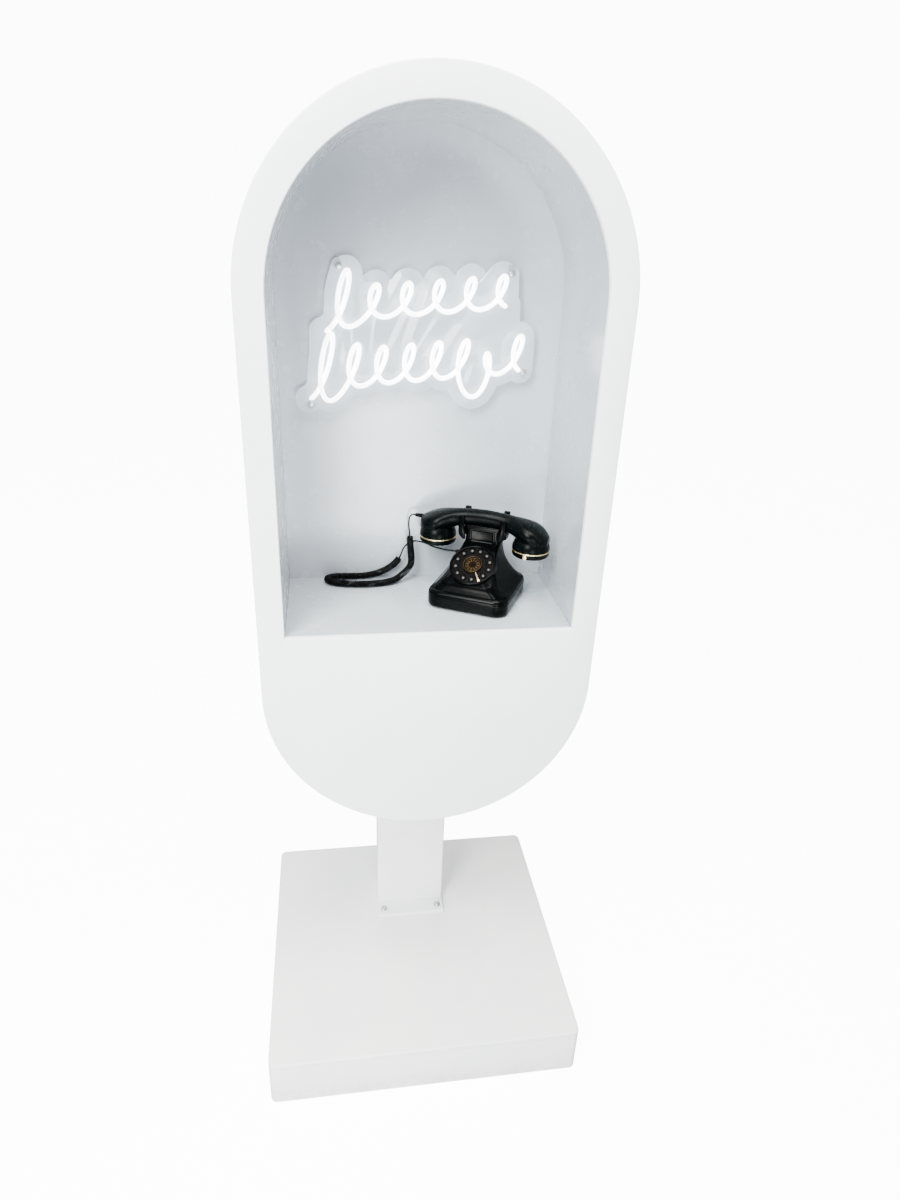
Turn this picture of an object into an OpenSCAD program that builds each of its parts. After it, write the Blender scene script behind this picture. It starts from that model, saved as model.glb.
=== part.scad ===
// Freestanding message booth: a capsule cabinet on a post and a square base,
// with an arched niche that holds a neon sign and a corded push-button telephone.
// Millimetres, +Z up, the front faces -Y, the origin is the centre of the base's underside.

/* [Cabinet] */
// Width of the capsule cabinet
cabinet_w = 560; // [460:10:680]
// Height of the capsule cabinet
cabinet_h = 1180; // [1000:10:1420]
// Height of the cabinet's lowest point above the floor
cabinet_lift = 565; // [450:5:700]
// Y of the cabinet's front face
cabinet_front = -157; // [-200:1:-120]
// Thickness of the front panel
front_t = 9; // [6:1:15]
// Thickness of the curved outer band
band_t = 6; // [3:1:9]
// Thickness of the back panel
back_t = 5; // [3:1:8]

/* [Niche] */
// Width of the rim between the niche and the cabinet's edge
rim_w = 42; // [36:1:70]
// Depth of the niche, front face to back wall
niche_d = 240; // [230:5:300]
// Height of the niche floor above the cabinet's lowest point
niche_rise = 390; // [330:10:430]
// Thickness of the niche's arched liner
liner_t = 4; // [2:1:6]
// Thickness of the niche floor
floor_t = 12; // [8:1:20]

/* [Post and base] */
// Width of the post
post_w = 152; // [100:2:190]
// Depth of the post
post_d = 40; // [30:1:60]
// Wall of the post
post_wall = 3; // [2:0.5:4]
// Depth of the foot plate welded to the post
flange_d = 116; // [100:2:140]
// Thickness of the foot plate
flange_t = 8; // [5:1:12]
// Width of the base
base_w = 615; // [500:5:740]
// Depth of the base
base_d = 575; // [520:5:700]
// Height of the base
base_h = 106; // [85:1:130]
// Wall and lid thickness of the base
base_t = 12; // [9:1:18]
// Corner radius of the base
base_r = 14; // [6:1:30]

/* [Sign] */
// Diameter of the neon tube
tube_d = 8; // [6:0.5:9]
// Thickness of the clear backing board
board_t = 5; // [3:1:8]
// Gap between the backing board and the wall
standoff_l = 12; // [8:1:20]

/* [Telephone] */
// Width of the telephone's plinth
plinth_w = 146; // [140:1:160]
// Depth of the telephone's plinth
plinth_d = 153; // [146:1:165]
// Wall of the telephone's casing
casing_t = 2.5; // [2:0.25:3]
// Radius of the dial face
dial_r = 37; // [36:0.5:38]
// Distance from the dial's edge to the ring of keys
key_inset = 7; // [6:0.5:8]
// Radius of a key's cap
key_r = 4.3; // [3.5:0.1:4.6]
// Distance between the two cups of the handset
cup_spacing = 173; // [165:1:180]
// Outer radius of a handset cup
cup_r = 33.5; // [30:0.5:34]
// Outer diameter of the curly cord
coil_d = 13.5; // [10:0.5:15]
// Diameter of the straight cord
cord_d = 3; // [2.5:0.1:4]

/* [Hidden] */
$fn = 64;

clear = 0.3;        // gap round a fastener and between a moving piece and its seat
paint = "white";
black = [0.06, 0.07, 0.08];
gold = [0.80, 0.66, 0.36];
steel = [0.70, 0.71, 0.72];
timber = [0.80, 0.66, 0.47];

// cabinet
arc_r = cabinet_w / 2;
low_z = cabinet_lift + arc_r;                   // centre of the lower arc
high_z = cabinet_lift + cabinet_h - arc_r;      // centre of the upper arc
niche_r = arc_r - rim_w;
floor_z = cabinet_lift + niche_rise;
wall_y = cabinet_front + niche_d;               // the niche's back wall
back_y = wall_y + back_t;                       // the cabinet's back, where the post starts
band_y = cabinet_front + front_t;               // where the outer band starts
inner_r = arc_r - band_t;
batten_w = inner_r - niche_r - liner_t - 6;     // radial size of a frame batten
batten_l = 30;
batten_r = (inner_r + niche_r + liner_t) / 2;
batten_angles = [-2, 40, 90, 140, 182];
side_batten_z = floor_z + 70;
low_batten_angles = [205, 240, 300, 335];
screw_r = 1.8;
screw_head_r = 4.2;
screw_l = 26;

// stiffener, post and base
plate_w = 250;
plate_h = niche_rise * 0.62;
plate_t = 12;
shelf_batten = 20;
plate_top = floor_z - floor_t - shelf_batten - 4;
post_y = back_y + post_d / 2;
post_top = plate_top + 6;
post_bolt_x = 50;
post_bolt_z = [plate_top - 35, plate_top - plate_h + 35];
post_bolt_r = 4;
post_bolt_l = 58;
flange_bolt_x = post_w / 2 - 14;
flange_bolt_y = flange_d / 2 - 17;
flange_bolt_r = 5;
flange_head_r = 7.75;
flange_bolt_l = 60;
block_size = [post_w + 40, flange_d + 60];
ballast_t = 15;
bottom_t = 6;
ballast_margin = 60;

// sign: each row is a looping line, [start x, span, middle z, loops, swing, height, tall start, drop]
sign_mid_z = floor_z + 445;
sign_rise = 0.095;
sign_slant = 0.22;
sign_cross = 5.3;                               // the tube passes over itself by this much either way
board_y = wall_y - standoff_l - board_t;        // front face of the board
tube_y = board_y - tube_d / 2 - sign_cross - 0.2;
upper_row = [-160, 310, 54, 6, 18, 24, 26, 0];
lower_row = [-186, 366, -46, 8, 17, 29, 28, 48];
row_steps = 20;                                 // rings for each loop
board_margin = 22;
standoff_r = 6;
stud_r = 2.5;
driver_size = [52, 28, 118];
driver_gap = [20, 16];                          // beside the stiffener plate and below its top
inlet_x = 180;
inlet_z = low_z - 70;
inlet_r = 8;
standoff_spots = [[-136, 98], [144, 94], [-186, -118], [174, -62]];

// telephone, in its own frame: the middle of its plinth's underside, its front faces -Y
phone_x = 98;
phone_back = 102;                               // from the niche's back wall to the plinth's middle
phone_yaw = -27;
foot_h = 3;
foot_r = 7;
plinth_r = 24;
plinth_top = 34;
neck_top = 122;
neck_hw = 31;
neck_d = 30;
tier_in = 6;                                    // the body starts this far inside the plinth
flare = 2.6;                                    // how sharply the body flares out to the plinth
plinth_inset = [[3, 1.6], [6, 0], [25, 0], [29, 1.2], [32, 3.6], [34, 8]];
front_line = [[34, 6.5], [44, 6], [53, 7.5], [60, 16.5], [94, 68.5], [96, 82.5], [97, 90.5], [122, 90.5]];
corner_line = [[34, 24], [60, 18], [97, 8], [122, 6]];
body_levels = [3, 6, 15, 25, 29, 32, 34, 36, 40, 46, 53, 60, 68, 76, 84, 90, 94, 96, 97, 110, 122];
neck_front = lookup(neck_top, front_line) - plinth_d / 2;
dial_y = 40.5 - plinth_d / 2;
dial_z = 76;
dial_tilt = 34;
dial_t = 2.5;
dial_seat = 1;                                  // width of the ledge that the dial face lies on
housing_r = dial_r + 4;
housing_h = 16;
key_ring_r = dial_r - key_inset;
key_hole_r = key_r + 0.6;
key_travel = 2;
key_step = 29;
key_first = -37.5;
stop_angle = -58;
badge_r = key_ring_r - 13;
badge_hole_ring = badge_r - 7.5;
stop_tip = badge_r + 2.5;                       // the finger stop reaches in to here
stop_foot = dial_r - 2.5;
prong_x = 37;
handset_y = neck_front + 12;
prong_gap = 17;                                 // prong's middle from the handset's middle
hook_x = 18;
hook_r = 3;
hook_foot = 108.5;                              // underside of the plungers' round part
hook_strip_t = 3.2;
plate_z = foot_h + 2;
stop_t = 1.6;
stop_hw = 1.3;
stop_top = 4.6;
panel_hw = 23;                                  // the glossy panel on the neck
panel_t = 1.6;
panel_z = 98;
panel_up = 2.5;
circuit_t = 1.6;
recorder_size = [76, 48, circuit_t];
recorder_y = -28;
recorder_post = [30, 18, 5];                    // its posts: x, y, height
battery_size = [48, 32, 18];
battery_at = [-64, 14];
switch_size = [20, 14, 13];
switch_z = 92;
bracket_size = [24, 2, 100];
keypad_drop = 8.4;                              // from the dial face's back to the keypad board's
keypad_post_ring = key_ring_r * 0.6;

// handset, in the telephone's frame
cup_x = cup_spacing / 2;
ring_z = 99;
cap_h = 12;
ring_h = 1.8;
arch_z = 157;                                   // top of the handle
arch_drop = 0.00154;                            // how the handle falls off, per mm squared
handle_hh = 14;
handle_hw = 12.5;
end_x = cup_x + cup_r - 3;
relief_z = 129.5;
relief_l = 18;
relief_r = 3;

// cord route, from the niche floor and back wall:
// the straight lead from the handset, the coil, the lead to the casing
lead_sides = 8;
handset_lead = [[-7.2, -19.2, 129.5], [-12.5, -16.6, 128.8],
    [-17, -15, 123], [-18.5, -16, 112], [-17.5, -18, 99]];
coil_route = [[-17, -21, 88], [-14, -22, 64], [-11, -23, 46],
    [-15, -26, 30], [-27, -31, 17], [-44, -38, 9.5], [-62, -44, 7.2],
    [-84, -48, 7.2], [-106, -49, 7.2], [-128, -47, 7.2], [-148, -41, 7.2], [-164, -32, 7.2],
    [-168, -21, 7.2], [-158, -13, 7.2], [-140, -11, 7.2], [-118, -12, 7.2], [-98, -12, 8],
    [-78, -12, 12], [-60, -13, 20], [-45, -14, 31], [-35, -14, 43]];
casing_lead = [[-32, -13, 49], [-27, -11, 61], [-18, -10, 70], [-5, -11, 75], [10, -24, 76], [24, -46, 77],
    [42, -71, 80.5], [52, -78.6, 81.8], [59.8, -82.5, 82]];
socket_x = 36.5;
socket_z = 82;
socket_l = 10;
socket_r = 3.5;

function smooth(a, b, c, d, t) =                // a point between b and c on one smooth curve
    0.5 * ((2 * b) + (c - a) * t + (2 * a - 5 * b + 4 * c - d) * t * t + (3 * b - a - 3 * c + d) * t * t * t);
function curve(p, steps) = [for (i = [0 : len(p) - 2], s = [0 : steps - 1])
    smooth(p[max(0, i - 1)], p[i], p[i + 1], p[min(len(p) - 1, i + 2)], s / steps), p[len(p) - 1]];
function unit(v) = v / norm(v);
function square_to(u, t) = unit(u - (u * t) * t);
function tangents(p) = [for (i = [0 : len(p) - 1]) unit(p[min(i + 1, len(p) - 1)] - p[max(i - 1, 0)])];
function carried(t, first) = [for (i = 0, u = square_to(first, t[0]); i < len(t);
    i = i + 1, u = i < len(t) ? square_to(u, t[i]) : u) u];
function tube_rings(p, radii, sides, first) = let (t = tangents(p), u = carried(t, first))
    [for (i = [0 : len(p) - 1]) [for (k = [0 : sides - 1]) let (a = 360 * k / sides)
        p[i] + radii[i] * (cos(a) * u[i] + sin(a) * cross(t[i], u[i]))]];
function repeat(value, count) = [for (i = [1 : count]) value];
function bump(t, centre, width) = exp(-pow((t - centre) / width, 2));
function row_point(row, t) = let (
    turn = 360 * row[3] * t,
    height = (row[5] + row[6] * bump(t, 0.07, 0.1)) * -cos(turn) - row[7] * bump(t, 0.78, 0.045),
    x = row[0] + row[1] * t + row[4] * sin(turn) + sign_slant * height)
    [x, tube_y + sign_cross * sin(turn), sign_mid_z + row[2] + sign_rise * x + height];
function row_path(row) = [for (i = [1 : row_steps * row[3] - 1]) row_point(row, i / (row_steps * row[3]))];
function body_hw(z) = z <= plinth_top ? plinth_w / 2 - lookup(z, plinth_inset)
    : neck_hw + (plinth_w / 2 - tier_in - neck_hw) * pow((neck_top - z) / (neck_top - plinth_top), flare);
function body_front(z) = z <= plinth_top ? -plinth_d / 2 + lookup(z, plinth_inset)
    : -plinth_d / 2 + lookup(z, front_line);
function body_back(z) = z <= plinth_top ? plinth_d / 2 - lookup(z, plinth_inset)
    : neck_front + neck_d + (plinth_d / 2 - tier_in - neck_front - neck_d)
        * pow((neck_top - z) / (neck_top - plinth_top), flare);
function rounded_ring(hw, front, back, r, z) = [for (c = [0 : 3], k = [0 : 5]) let (a = 90 * c + 18 * k)
    [(c == 0 || c == 3 ? hw - r : r - hw) + r * cos(a), (c < 2 ? back - r : front + r) + r * sin(a), z]];
function body_ring(z, inset) = rounded_ring(body_hw(z) - inset, body_front(z) + inset, body_back(z) - inset,
    max(2, lookup(z, corner_line) - inset), z);
function arch_top(x) = arch_z - arch_drop * x * x;
function arch_blend(x) = let (side = min(1, abs(x) / cup_x)) side * side * (3 - 2 * side);
function arch_under(x) = arch_top(min(abs(x), cup_x)) - 2 * handle_hh
    - (arch_top(cup_x) - 2 * handle_hh - ring_z - 8) * pow(arch_blend(x), 2);
function arch_ring(x) = let (
    out = max(0, abs(x) - cup_x),
    hw = out > 0 ? sqrt(cup_r * cup_r - out * out) - 1
        : handle_hw + (cup_r - 1 - handle_hw) * pow(arch_blend(x), 3),
    top = arch_top(x),
    bottom = arch_under(x))
    [for (k = [0 : 19]) let (a = 18 * k, across = pow(abs(cos(a)), 0.8) * sign(cos(a)))
        [x, handset_y + hw * across, (top + bottom) / 2 + (top - bottom) / 2 * sin(a)]];

module skin(rings) {                            // closed surface through rings of equally many points
    n = len(rings[0]);
    m = len(rings);
    polyhedron(points = [for (r = rings) each r],
        faces = concat([[for (k = [0 : n - 1]) k]],
            [for (i = [0 : m - 2], k = [0 : n - 1], half = [0, 1])
                let (a = i * n + k, b = i * n + (k + 1) % n) half == 0 ? [a, a + n, b + n] : [a, b + n, b]],
            [[for (k = [n - 1 : -1 : 0]) (m - 1) * n + k]]));
}
module upright(y_front, y_back) translate([0, y_back, 0]) rotate([90, 0, 0])
    linear_extrude(y_back - y_front) children();
module along_y(r, y_front, y_back) upright(y_front, y_back) circle(r);
module capsule(inset) {
    r = arc_r - inset;
    translate([0, low_z]) circle(r);
    translate([0, high_z]) circle(r);
    translate([-r, low_z]) square([2 * r, high_z - low_z]);
}
module niche_outline(grow, bottom) {
    r = niche_r + grow;
    translate([0, high_z]) circle(r);
    translate([-r, bottom]) square([2 * r, high_z - bottom]);
}
module rounded_box(w, d, r) {
    square([w - 2 * r, d], center = true);
    square([w, d - 2 * r], center = true);
    for (x = [-1, 1], y = [-1, 1]) translate([x * (w / 2 - r), y * (d / 2 - r)]) circle(r);
}
module at_battens() {
    for (a = batten_angles) translate([batten_r * cos(a), high_z + batten_r * sin(a)]) rotate(a) children();
    for (s = [0, 1]) translate([(s * 2 - 1) * batten_r, side_batten_z]) children();
    for (a = low_batten_angles) translate([batten_r * cos(a), low_z + batten_r * sin(a)])
        rotate(a) children();
}
module batten_screw_holes(y_front, y_back) upright(y_front, y_back) at_battens() circle(screw_r + 0.1);
module at_post_bolts() for (x = [-1, 1], z = post_bolt_z) translate([x * post_bolt_x, 0, z]) children();
module at_flange_bolts() for (x = [-1, 1], y = [-1, 1])
    translate([x * flange_bolt_x, post_y + y * flange_bolt_y, 0]) children();
module in_phone() translate([phone_x, wall_y - phone_back, floor_z]) rotate([0, 0, phone_yaw]) children();
module at_dial() translate([0, dial_y, dial_z]) rotate([dial_tilt, 0, 0]) children();
module on_dial() in_phone() at_dial() children();
module at_key(i) rotate(key_first + key_step * (i - 1)) translate([key_ring_r, 0, 0]) children();

// cabinet
module front_panel() color(paint) upright(cabinet_front, band_y) difference() {
    capsule(0);
    niche_outline(0, floor_z);
}
module outer_band() color(paint) upright(band_y, wall_y) difference() {
    capsule(0);
    capsule(band_t);
}
module back_panel() color(paint) difference() {
    upright(wall_y, back_y) capsule(0);
    batten_screw_holes(wall_y - 1, back_y + 1);
    at_post_bolts() along_y(post_bolt_r + clear, wall_y - 1, back_y + 1);
    translate([inlet_x, 0, inlet_z]) along_y(inlet_r + clear, wall_y - 1, back_y + 1);
}
module niche_arch() color(paint) upright(band_y, wall_y) difference() {
    niche_outline(liner_t, floor_z - floor_t);
    niche_outline(0, floor_z - floor_t - 1);
}
module niche_floor() color(paint) translate([-niche_r, band_y, floor_z - floor_t])
    cube([2 * niche_r, wall_y - band_y, floor_t]);
module frame_battens() color(timber) difference() {
    upright(band_y, wall_y) at_battens() square([batten_w, batten_l], center = true);
    batten_screw_holes(back_y - screw_l - 1, wall_y + 1);
}
module shelf_battens() color(timber) for (y = [band_y, wall_y - shelf_batten])
    translate([-niche_r + 20, y, floor_z - floor_t - shelf_batten])
        cube([2 * niche_r - 40, shelf_batten, shelf_batten]);
module stiffener_plate() color(timber) difference() {
    translate([-plate_w / 2, wall_y - plate_t, plate_top - plate_h]) cube([plate_w, plate_t, plate_h]);
    at_post_bolts() along_y(post_bolt_r + clear, wall_y - plate_t - 1, wall_y + 1);
}
module cabinet_screws() color(steel) {
    upright(back_y - screw_l, back_y) at_battens() circle(screw_r);
    upright(back_y, back_y + 1.6) at_battens() circle(screw_head_r);
}

// post and base
module post() color(paint) difference() {
    translate([0, post_y, base_h + flange_t]) linear_extrude(post_top - base_h - flange_t) difference() {
        rounded_box(post_w, post_d, 5);
        rounded_box(post_w - 2 * post_wall, post_d - 2 * post_wall, 2);
    }
    at_post_bolts() along_y(post_bolt_r + clear, back_y - 1, back_y + post_d + 1);
}
module post_cap() color(paint) translate([0, post_y, post_top]) {
    linear_extrude(3) rounded_box(post_w, post_d, 5);
    translate([0, 0, -12]) linear_extrude(12)
        rounded_box(post_w - 2 * post_wall - 2 * clear, post_d - 2 * post_wall - 2 * clear, 2);
}
module post_flange() color(paint) translate([0, 0, base_h]) difference() {
    translate([0, post_y, 0]) linear_extrude(flange_t) rounded_box(post_w, flange_d, 3);
    at_flange_bolts() translate([0, 0, -1]) cylinder(r = flange_bolt_r + clear, h = flange_t + 2);
}
module post_bolts() color(steel) at_post_bolts() {
    along_y(post_bolt_r, back_y + post_d - post_bolt_l, back_y + post_d);
    along_y(post_bolt_r * 2, back_y + post_d, back_y + post_d + 4);
}
module flange_bolts() color(steel) at_flange_bolts() {
    translate([0, 0, base_h + flange_t - flange_bolt_l]) cylinder(r = flange_bolt_r, h = flange_bolt_l);
    translate([0, 0, base_h + flange_t]) cylinder(r = flange_head_r, h = 1.6);
    translate([0, 0, base_h + flange_t]) cylinder(r = flange_head_r - 1.8, h = 4.6);
}
module base_top() color(paint) difference() {
    translate([0, 0, base_h - base_t]) linear_extrude(base_t) rounded_box(base_w, base_d, base_r);
    at_flange_bolts() translate([0, 0, base_h - base_t - 1])
        cylinder(r = flange_bolt_r + clear, h = base_t + 2);
}
module base_skirt() color(paint) translate([0, 0, bottom_t])
        linear_extrude(base_h - base_t - bottom_t) difference() {
    rounded_box(base_w, base_d, base_r);
    square([base_w - 2 * base_t, base_d - 2 * base_t], center = true);
}
module base_bottom() color(timber) linear_extrude(bottom_t) rounded_box(base_w, base_d, base_r);
module ballast_plate() color(steel) translate([0, 0, bottom_t + ballast_t / 2])
    cube([base_w - 2 * ballast_margin, base_d - 2 * ballast_margin, ballast_t], center = true);
module post_block() color(timber) difference() {
    translate([-block_size[0] / 2, post_y - block_size[1] / 2, bottom_t + ballast_t])
        cube([block_size[0], block_size[1], base_h - base_t - bottom_t - ballast_t]);
    at_flange_bolts() translate([0, 0, base_h + flange_t - flange_bolt_l - 1])
        cylinder(r = flange_bolt_r + clear, h = flange_bolt_l);
}

// neon sign
module sign_standoff_at(y) for (s = standoff_spots) translate([s[0], y, sign_mid_z + s[1]]) children();
module sign_board() color([0.9, 0.95, 0.97, 0.35]) upright(board_y, board_y + board_t) difference() {
    offset(r = -14) offset(r = 14) {
        for (row = [upper_row, lower_row], i = [1 : 2 : row_steps * row[3] - 1])
            let (p = row_point(row, i / (row_steps * row[3])))
                translate([p[0], p[2]]) circle(board_margin, $fn = 24);
        for (s = standoff_spots) translate([s[0], sign_mid_z + s[1]]) circle(standoff_r + 6, $fn = 24);
    }
    for (s = standoff_spots) translate([s[0], sign_mid_z + s[1]]) circle(stud_r + clear);
}
module sign_tube(row) color("white") {
    path = row_path(row);
    skin(tube_rings(path, repeat(tube_d / 2, len(path)), 8, [0, 1, 0]));
}
module sign_standoffs() color(steel) sign_standoff_at(0) {
    along_y(standoff_r, wall_y - standoff_l, wall_y);
    along_y(stud_r, board_y, wall_y - standoff_l);
    along_y(standoff_r - 1, board_y - 2.4, board_y);
}
module sign_driver() color("dimgray") translate([
    -plate_w / 2 - driver_gap[0] - driver_size[0],
    wall_y - driver_size[1],
    plate_top - driver_gap[1] - driver_size[2]]) cube(driver_size);
module power_inlet() color(black) translate([inlet_x, 0, inlet_z]) difference() {
    union() {
        along_y(inlet_r, wall_y - 16, back_y);
        along_y(inlet_r + 3, back_y, back_y + 2.5);
    }
    along_y(2.9, wall_y - 8, back_y + 3);
}

// telephone
module phone_body() color(black) in_phone() difference() {
    union() {
        skin([for (z = body_levels) body_ring(z, 0)]);
        at_dial() translate([0, 0, -housing_h]) cylinder(r = housing_r, h = housing_h - dial_t);
    }
    skin([for (z = body_levels) if (z < neck_top - casing_t)
            body_ring(z == foot_h ? foot_h - 1 : z, casing_t),
        body_ring(neck_top - casing_t, casing_t)]);
    at_dial() {
        translate([0, 0, 2 - housing_h]) cylinder(r = dial_r - dial_seat, h = 2 * housing_h);
        translate([0, 0, -dial_t]) cylinder(r = housing_r + 12, h = 2 * housing_h);
    }
    for (x = [-hook_x, hook_x]) translate([x, handset_y, neck_top - 6]) cylinder(r = hook_r + clear, h = 12);
    translate([-socket_x - 8, 0, socket_z]) rotate([0, 90, 0]) cylinder(r = socket_r + 0.1, h = 14);
}
module phone_base_plate() color([0.12, 0.12, 0.13]) in_phone() translate([0, 0, foot_h])
        linear_extrude(plate_z - foot_h)
    rounded_box(plinth_w - 2 * casing_t - 4, plinth_d - 2 * casing_t - 4, plinth_r - casing_t - 2);
module phone_feet() color([0.1, 0.1, 0.1]) in_phone() for (x = [-1, 1], y = [-1, 1])
    translate([x * (plinth_w / 2 - 21), y * (plinth_d / 2 - 21), 0]) cylinder(r = foot_r, h = foot_h);
module neck_panel() color(black) in_phone() translate([-panel_hw, neck_front - panel_t, panel_z])
    cube([2 * panel_hw, panel_t, neck_top + panel_up - panel_z]);
module cradle() color(black) in_phone() {
    translate([0, neck_front + neck_d / 2, neck_top]) linear_extrude(3) difference() {
        rounded_box(2 * neck_hw + 2, neck_d, 5);
        for (x = [-hook_x, hook_x]) translate([x, handset_y - neck_front - neck_d / 2])
            circle(hook_r + clear);
    }
    for (s = [-1, 1]) translate([s * prong_x, handset_y, 0]) {
        translate([0, 0, neck_top - 9]) linear_extrude(10) rounded_box(9, 2 * prong_gap + 6, 4);
        translate([0, -prong_gap, neck_top - 9]) linear_extrude(35) rounded_box(6, 5, 2);
        translate([0, prong_gap, neck_top - 9]) linear_extrude(42) rounded_box(7, 5, 2);
        translate([-s * 3.5, 3, neck_top - 4]) linear_extrude(5) square([4.4, 24], center = true);
    }
}
module dial_bezel() color(black) on_dial() translate([0, 0, -dial_t]) rotate_extrude() {
    translate([dial_r + 0.1, 0]) square([housing_r - dial_r - 0.1, dial_t + 0.6]);
    translate([(dial_r + housing_r) / 2, dial_t + 0.6]) circle((housing_r - dial_r) / 2 - 0.1);
}
module dial_face() color(black) on_dial() translate([0, 0, -dial_t]) difference() {
    cylinder(r = dial_r, h = dial_t);
    for (i = [1 : 12]) at_key(i) translate([0, 0, -1]) cylinder(r = key_hole_r, h = dial_t + 2);
}
module dial_badge() color(gold) on_dial() difference() {
    union() {
        cylinder(r = badge_r, h = 2.4);
        rotate_extrude() translate([badge_r - 1.6, 2.4]) circle(1.2);
        cylinder(r = 4, h = 4);
    }
    for (i = [0 : 11]) rotate(30 * i) translate([badge_hole_ring, 0, 1.6])
        cylinder(r = badge_hole_ring / 5, h = 3);
}
module finger_stop() color(gold) on_dial() rotate(stop_angle) {
    translate([stop_foot, 0, 0]) cylinder(r = stop_t, h = stop_top);
    translate([stop_tip, -stop_hw, stop_top - stop_t])
        cube([stop_foot + stop_t - stop_tip, 2 * stop_hw, stop_t]);
    translate([stop_tip, 0, stop_top - stop_t]) cylinder(r = stop_hw, h = stop_t);
}
module keypad_board() color("darkgreen") on_dial() translate([0, 0, -dial_t - keypad_drop]) {
    cylinder(r = dial_r - 2.4, h = circuit_t);
    for (a = [40, 160, 280]) rotate(a) translate([keypad_post_ring, 0, circuit_t])
        cylinder(r = 2.2, h = keypad_drop - circuit_t);
}
module recorder_board() color("darkgreen") in_phone() translate([0, recorder_y, plate_z]) {
    for (x = [-1, 1], y = [-1, 1]) translate([x * recorder_post[0], y * recorder_post[1], 0])
        cylinder(r = 3, h = recorder_post[2]);
    translate([-recorder_size[0] / 2, -recorder_size[1] / 2, recorder_post[2]]) cube(recorder_size);
    translate([0, 0, recorder_post[2] + circuit_t]) {
        translate([-20, -12, 0]) cube([18, 18, 2]);
        translate([8, -14, 0]) cube([22, 12, 6]);
    }
}
module battery_pack() color("slategray") in_phone() translate([battery_at[0], battery_at[1], plate_z])
    cube(battery_size);
module hook_switch() color("dimgray") in_phone() {
    translate([-bracket_size[0] / 2, handset_y - 5 + switch_size[1], plate_z]) cube(bracket_size);
    translate([-switch_size[0] / 2, handset_y - 5, switch_z]) cube(switch_size);
}
module cord_socket() color(black) in_phone() translate([-socket_x - socket_l + 4, 0, socket_z])
    rotate([0, 90, 0]) cylinder(r = socket_r, h = socket_l);
module handset_cord() color(black) translate([0, wall_y, floor_z]) {
    first = curve(handset_lead, 3);
    coil = curve(coil_route, 1);
    last = curve(casing_lead, 2);
    skin(tube_rings(concat(first, coil, last),
        concat(repeat(cord_d / 2, len(first)), repeat(coil_d / 2, len(coil)), repeat(cord_d / 2, len(last))),
        lead_sides, [0, 1, 0]));
}

// moving pieces
module key_button(i) color("silver") on_dial() at_key(i) {
    rotate_extrude() intersection() {
        translate([0, 2.2 - 10]) circle(10);
        translate([0, -2]) square([key_r, 6]);
    }
    translate([0, 0, -dial_t - 1.6]) cylinder(r = key_r, h = 1.9 + dial_t - 1.6);
    translate([0, 0, -dial_t - 1.6 - clear]) cylinder(r = key_hole_r + 0.6, h = 1.6);
    translate([0, 0, -dial_t - 4.2]) cylinder(r = 1.8, h = 3);
}
module hook_plunger() color(black) in_phone() {
    for (x = [-hook_x, hook_x]) translate([x, handset_y, hook_foot])
        cylinder(r = hook_r, h = arch_under(hook_x + hook_r) - clear - hook_foot);
    translate([-hook_x - hook_r, handset_y - hook_r, hook_foot - hook_strip_t])
        cube([2 * (hook_x + hook_r), 2 * hook_r, hook_strip_t]);
}
module cup(s) translate([s * cup_x, handset_y, ring_z]) children();
module handset_shell() color(black) in_phone() difference() {
    union() {
        skin([for (x = concat([-end_x], [for (i = [-11 : 11]) i * 10.4], [end_x])) arch_ring(x)]);
        for (s = [-1, 1]) cup(s) rotate_extrude() intersection() {
            circle(cup_r);
            square([cup_r, 26]);
        }
    }
    for (s = [-1, 1]) cup(s) translate([0, 0, -1]) cylinder(r = cup_r - 3, h = 16);
    translate([-end_x - 5, handset_y, relief_z]) rotate([0, 90, 0]) cylinder(r = relief_r + 0.1, h = 10);
}
module cup_rings() color(gold) in_phone() for (s = [-1, 1]) cup(s) translate([0, 0, -ring_h]) difference() {
    cylinder(r = cup_r + 0.3, h = ring_h);
    translate([0, 0, -1]) cylinder(r = cup_r - 3, h = 4);
}
module cap_solid(holes) translate([0, 0, -cap_h]) difference() {
    union() {
        cylinder(r = cup_r - 3, h = 3);
        translate([0, 0, 2.6]) cylinder(r = cup_r - 0.5, h = cap_h - ring_h - 2.6);
        rotate_extrude() translate([cup_r - 3.5, 3]) circle(3);
    }
    translate([0, 0, 3]) cylinder(r = cup_r - 4, h = cap_h);
    for (i = [0 : holes - 1]) rotate(360 * i / holes) translate([10, 0, -1]) cylinder(r = 1.4, h = 6);
}
module receiver_cap() color(black) in_phone() cup(1) cap_solid(6);
module transmitter_cap() color(black) in_phone() cup(-1) cap_solid(8);
module receiver_capsule() color("dimgray") in_phone() cup(1) translate([0, 0, 3 - cap_h])
    cylinder(r = 22, h = 14);
module microphone_capsule() color("dimgray") in_phone() cup(-1) translate([0, 0, 3 - cap_h])
    cylinder(r = 12, h = 10);
module cord_relief() color(black) in_phone() translate([-end_x - relief_l + 4, handset_y, relief_z])
    rotate([0, 90, 0])
    cylinder(r = relief_r, h = relief_l);

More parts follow.
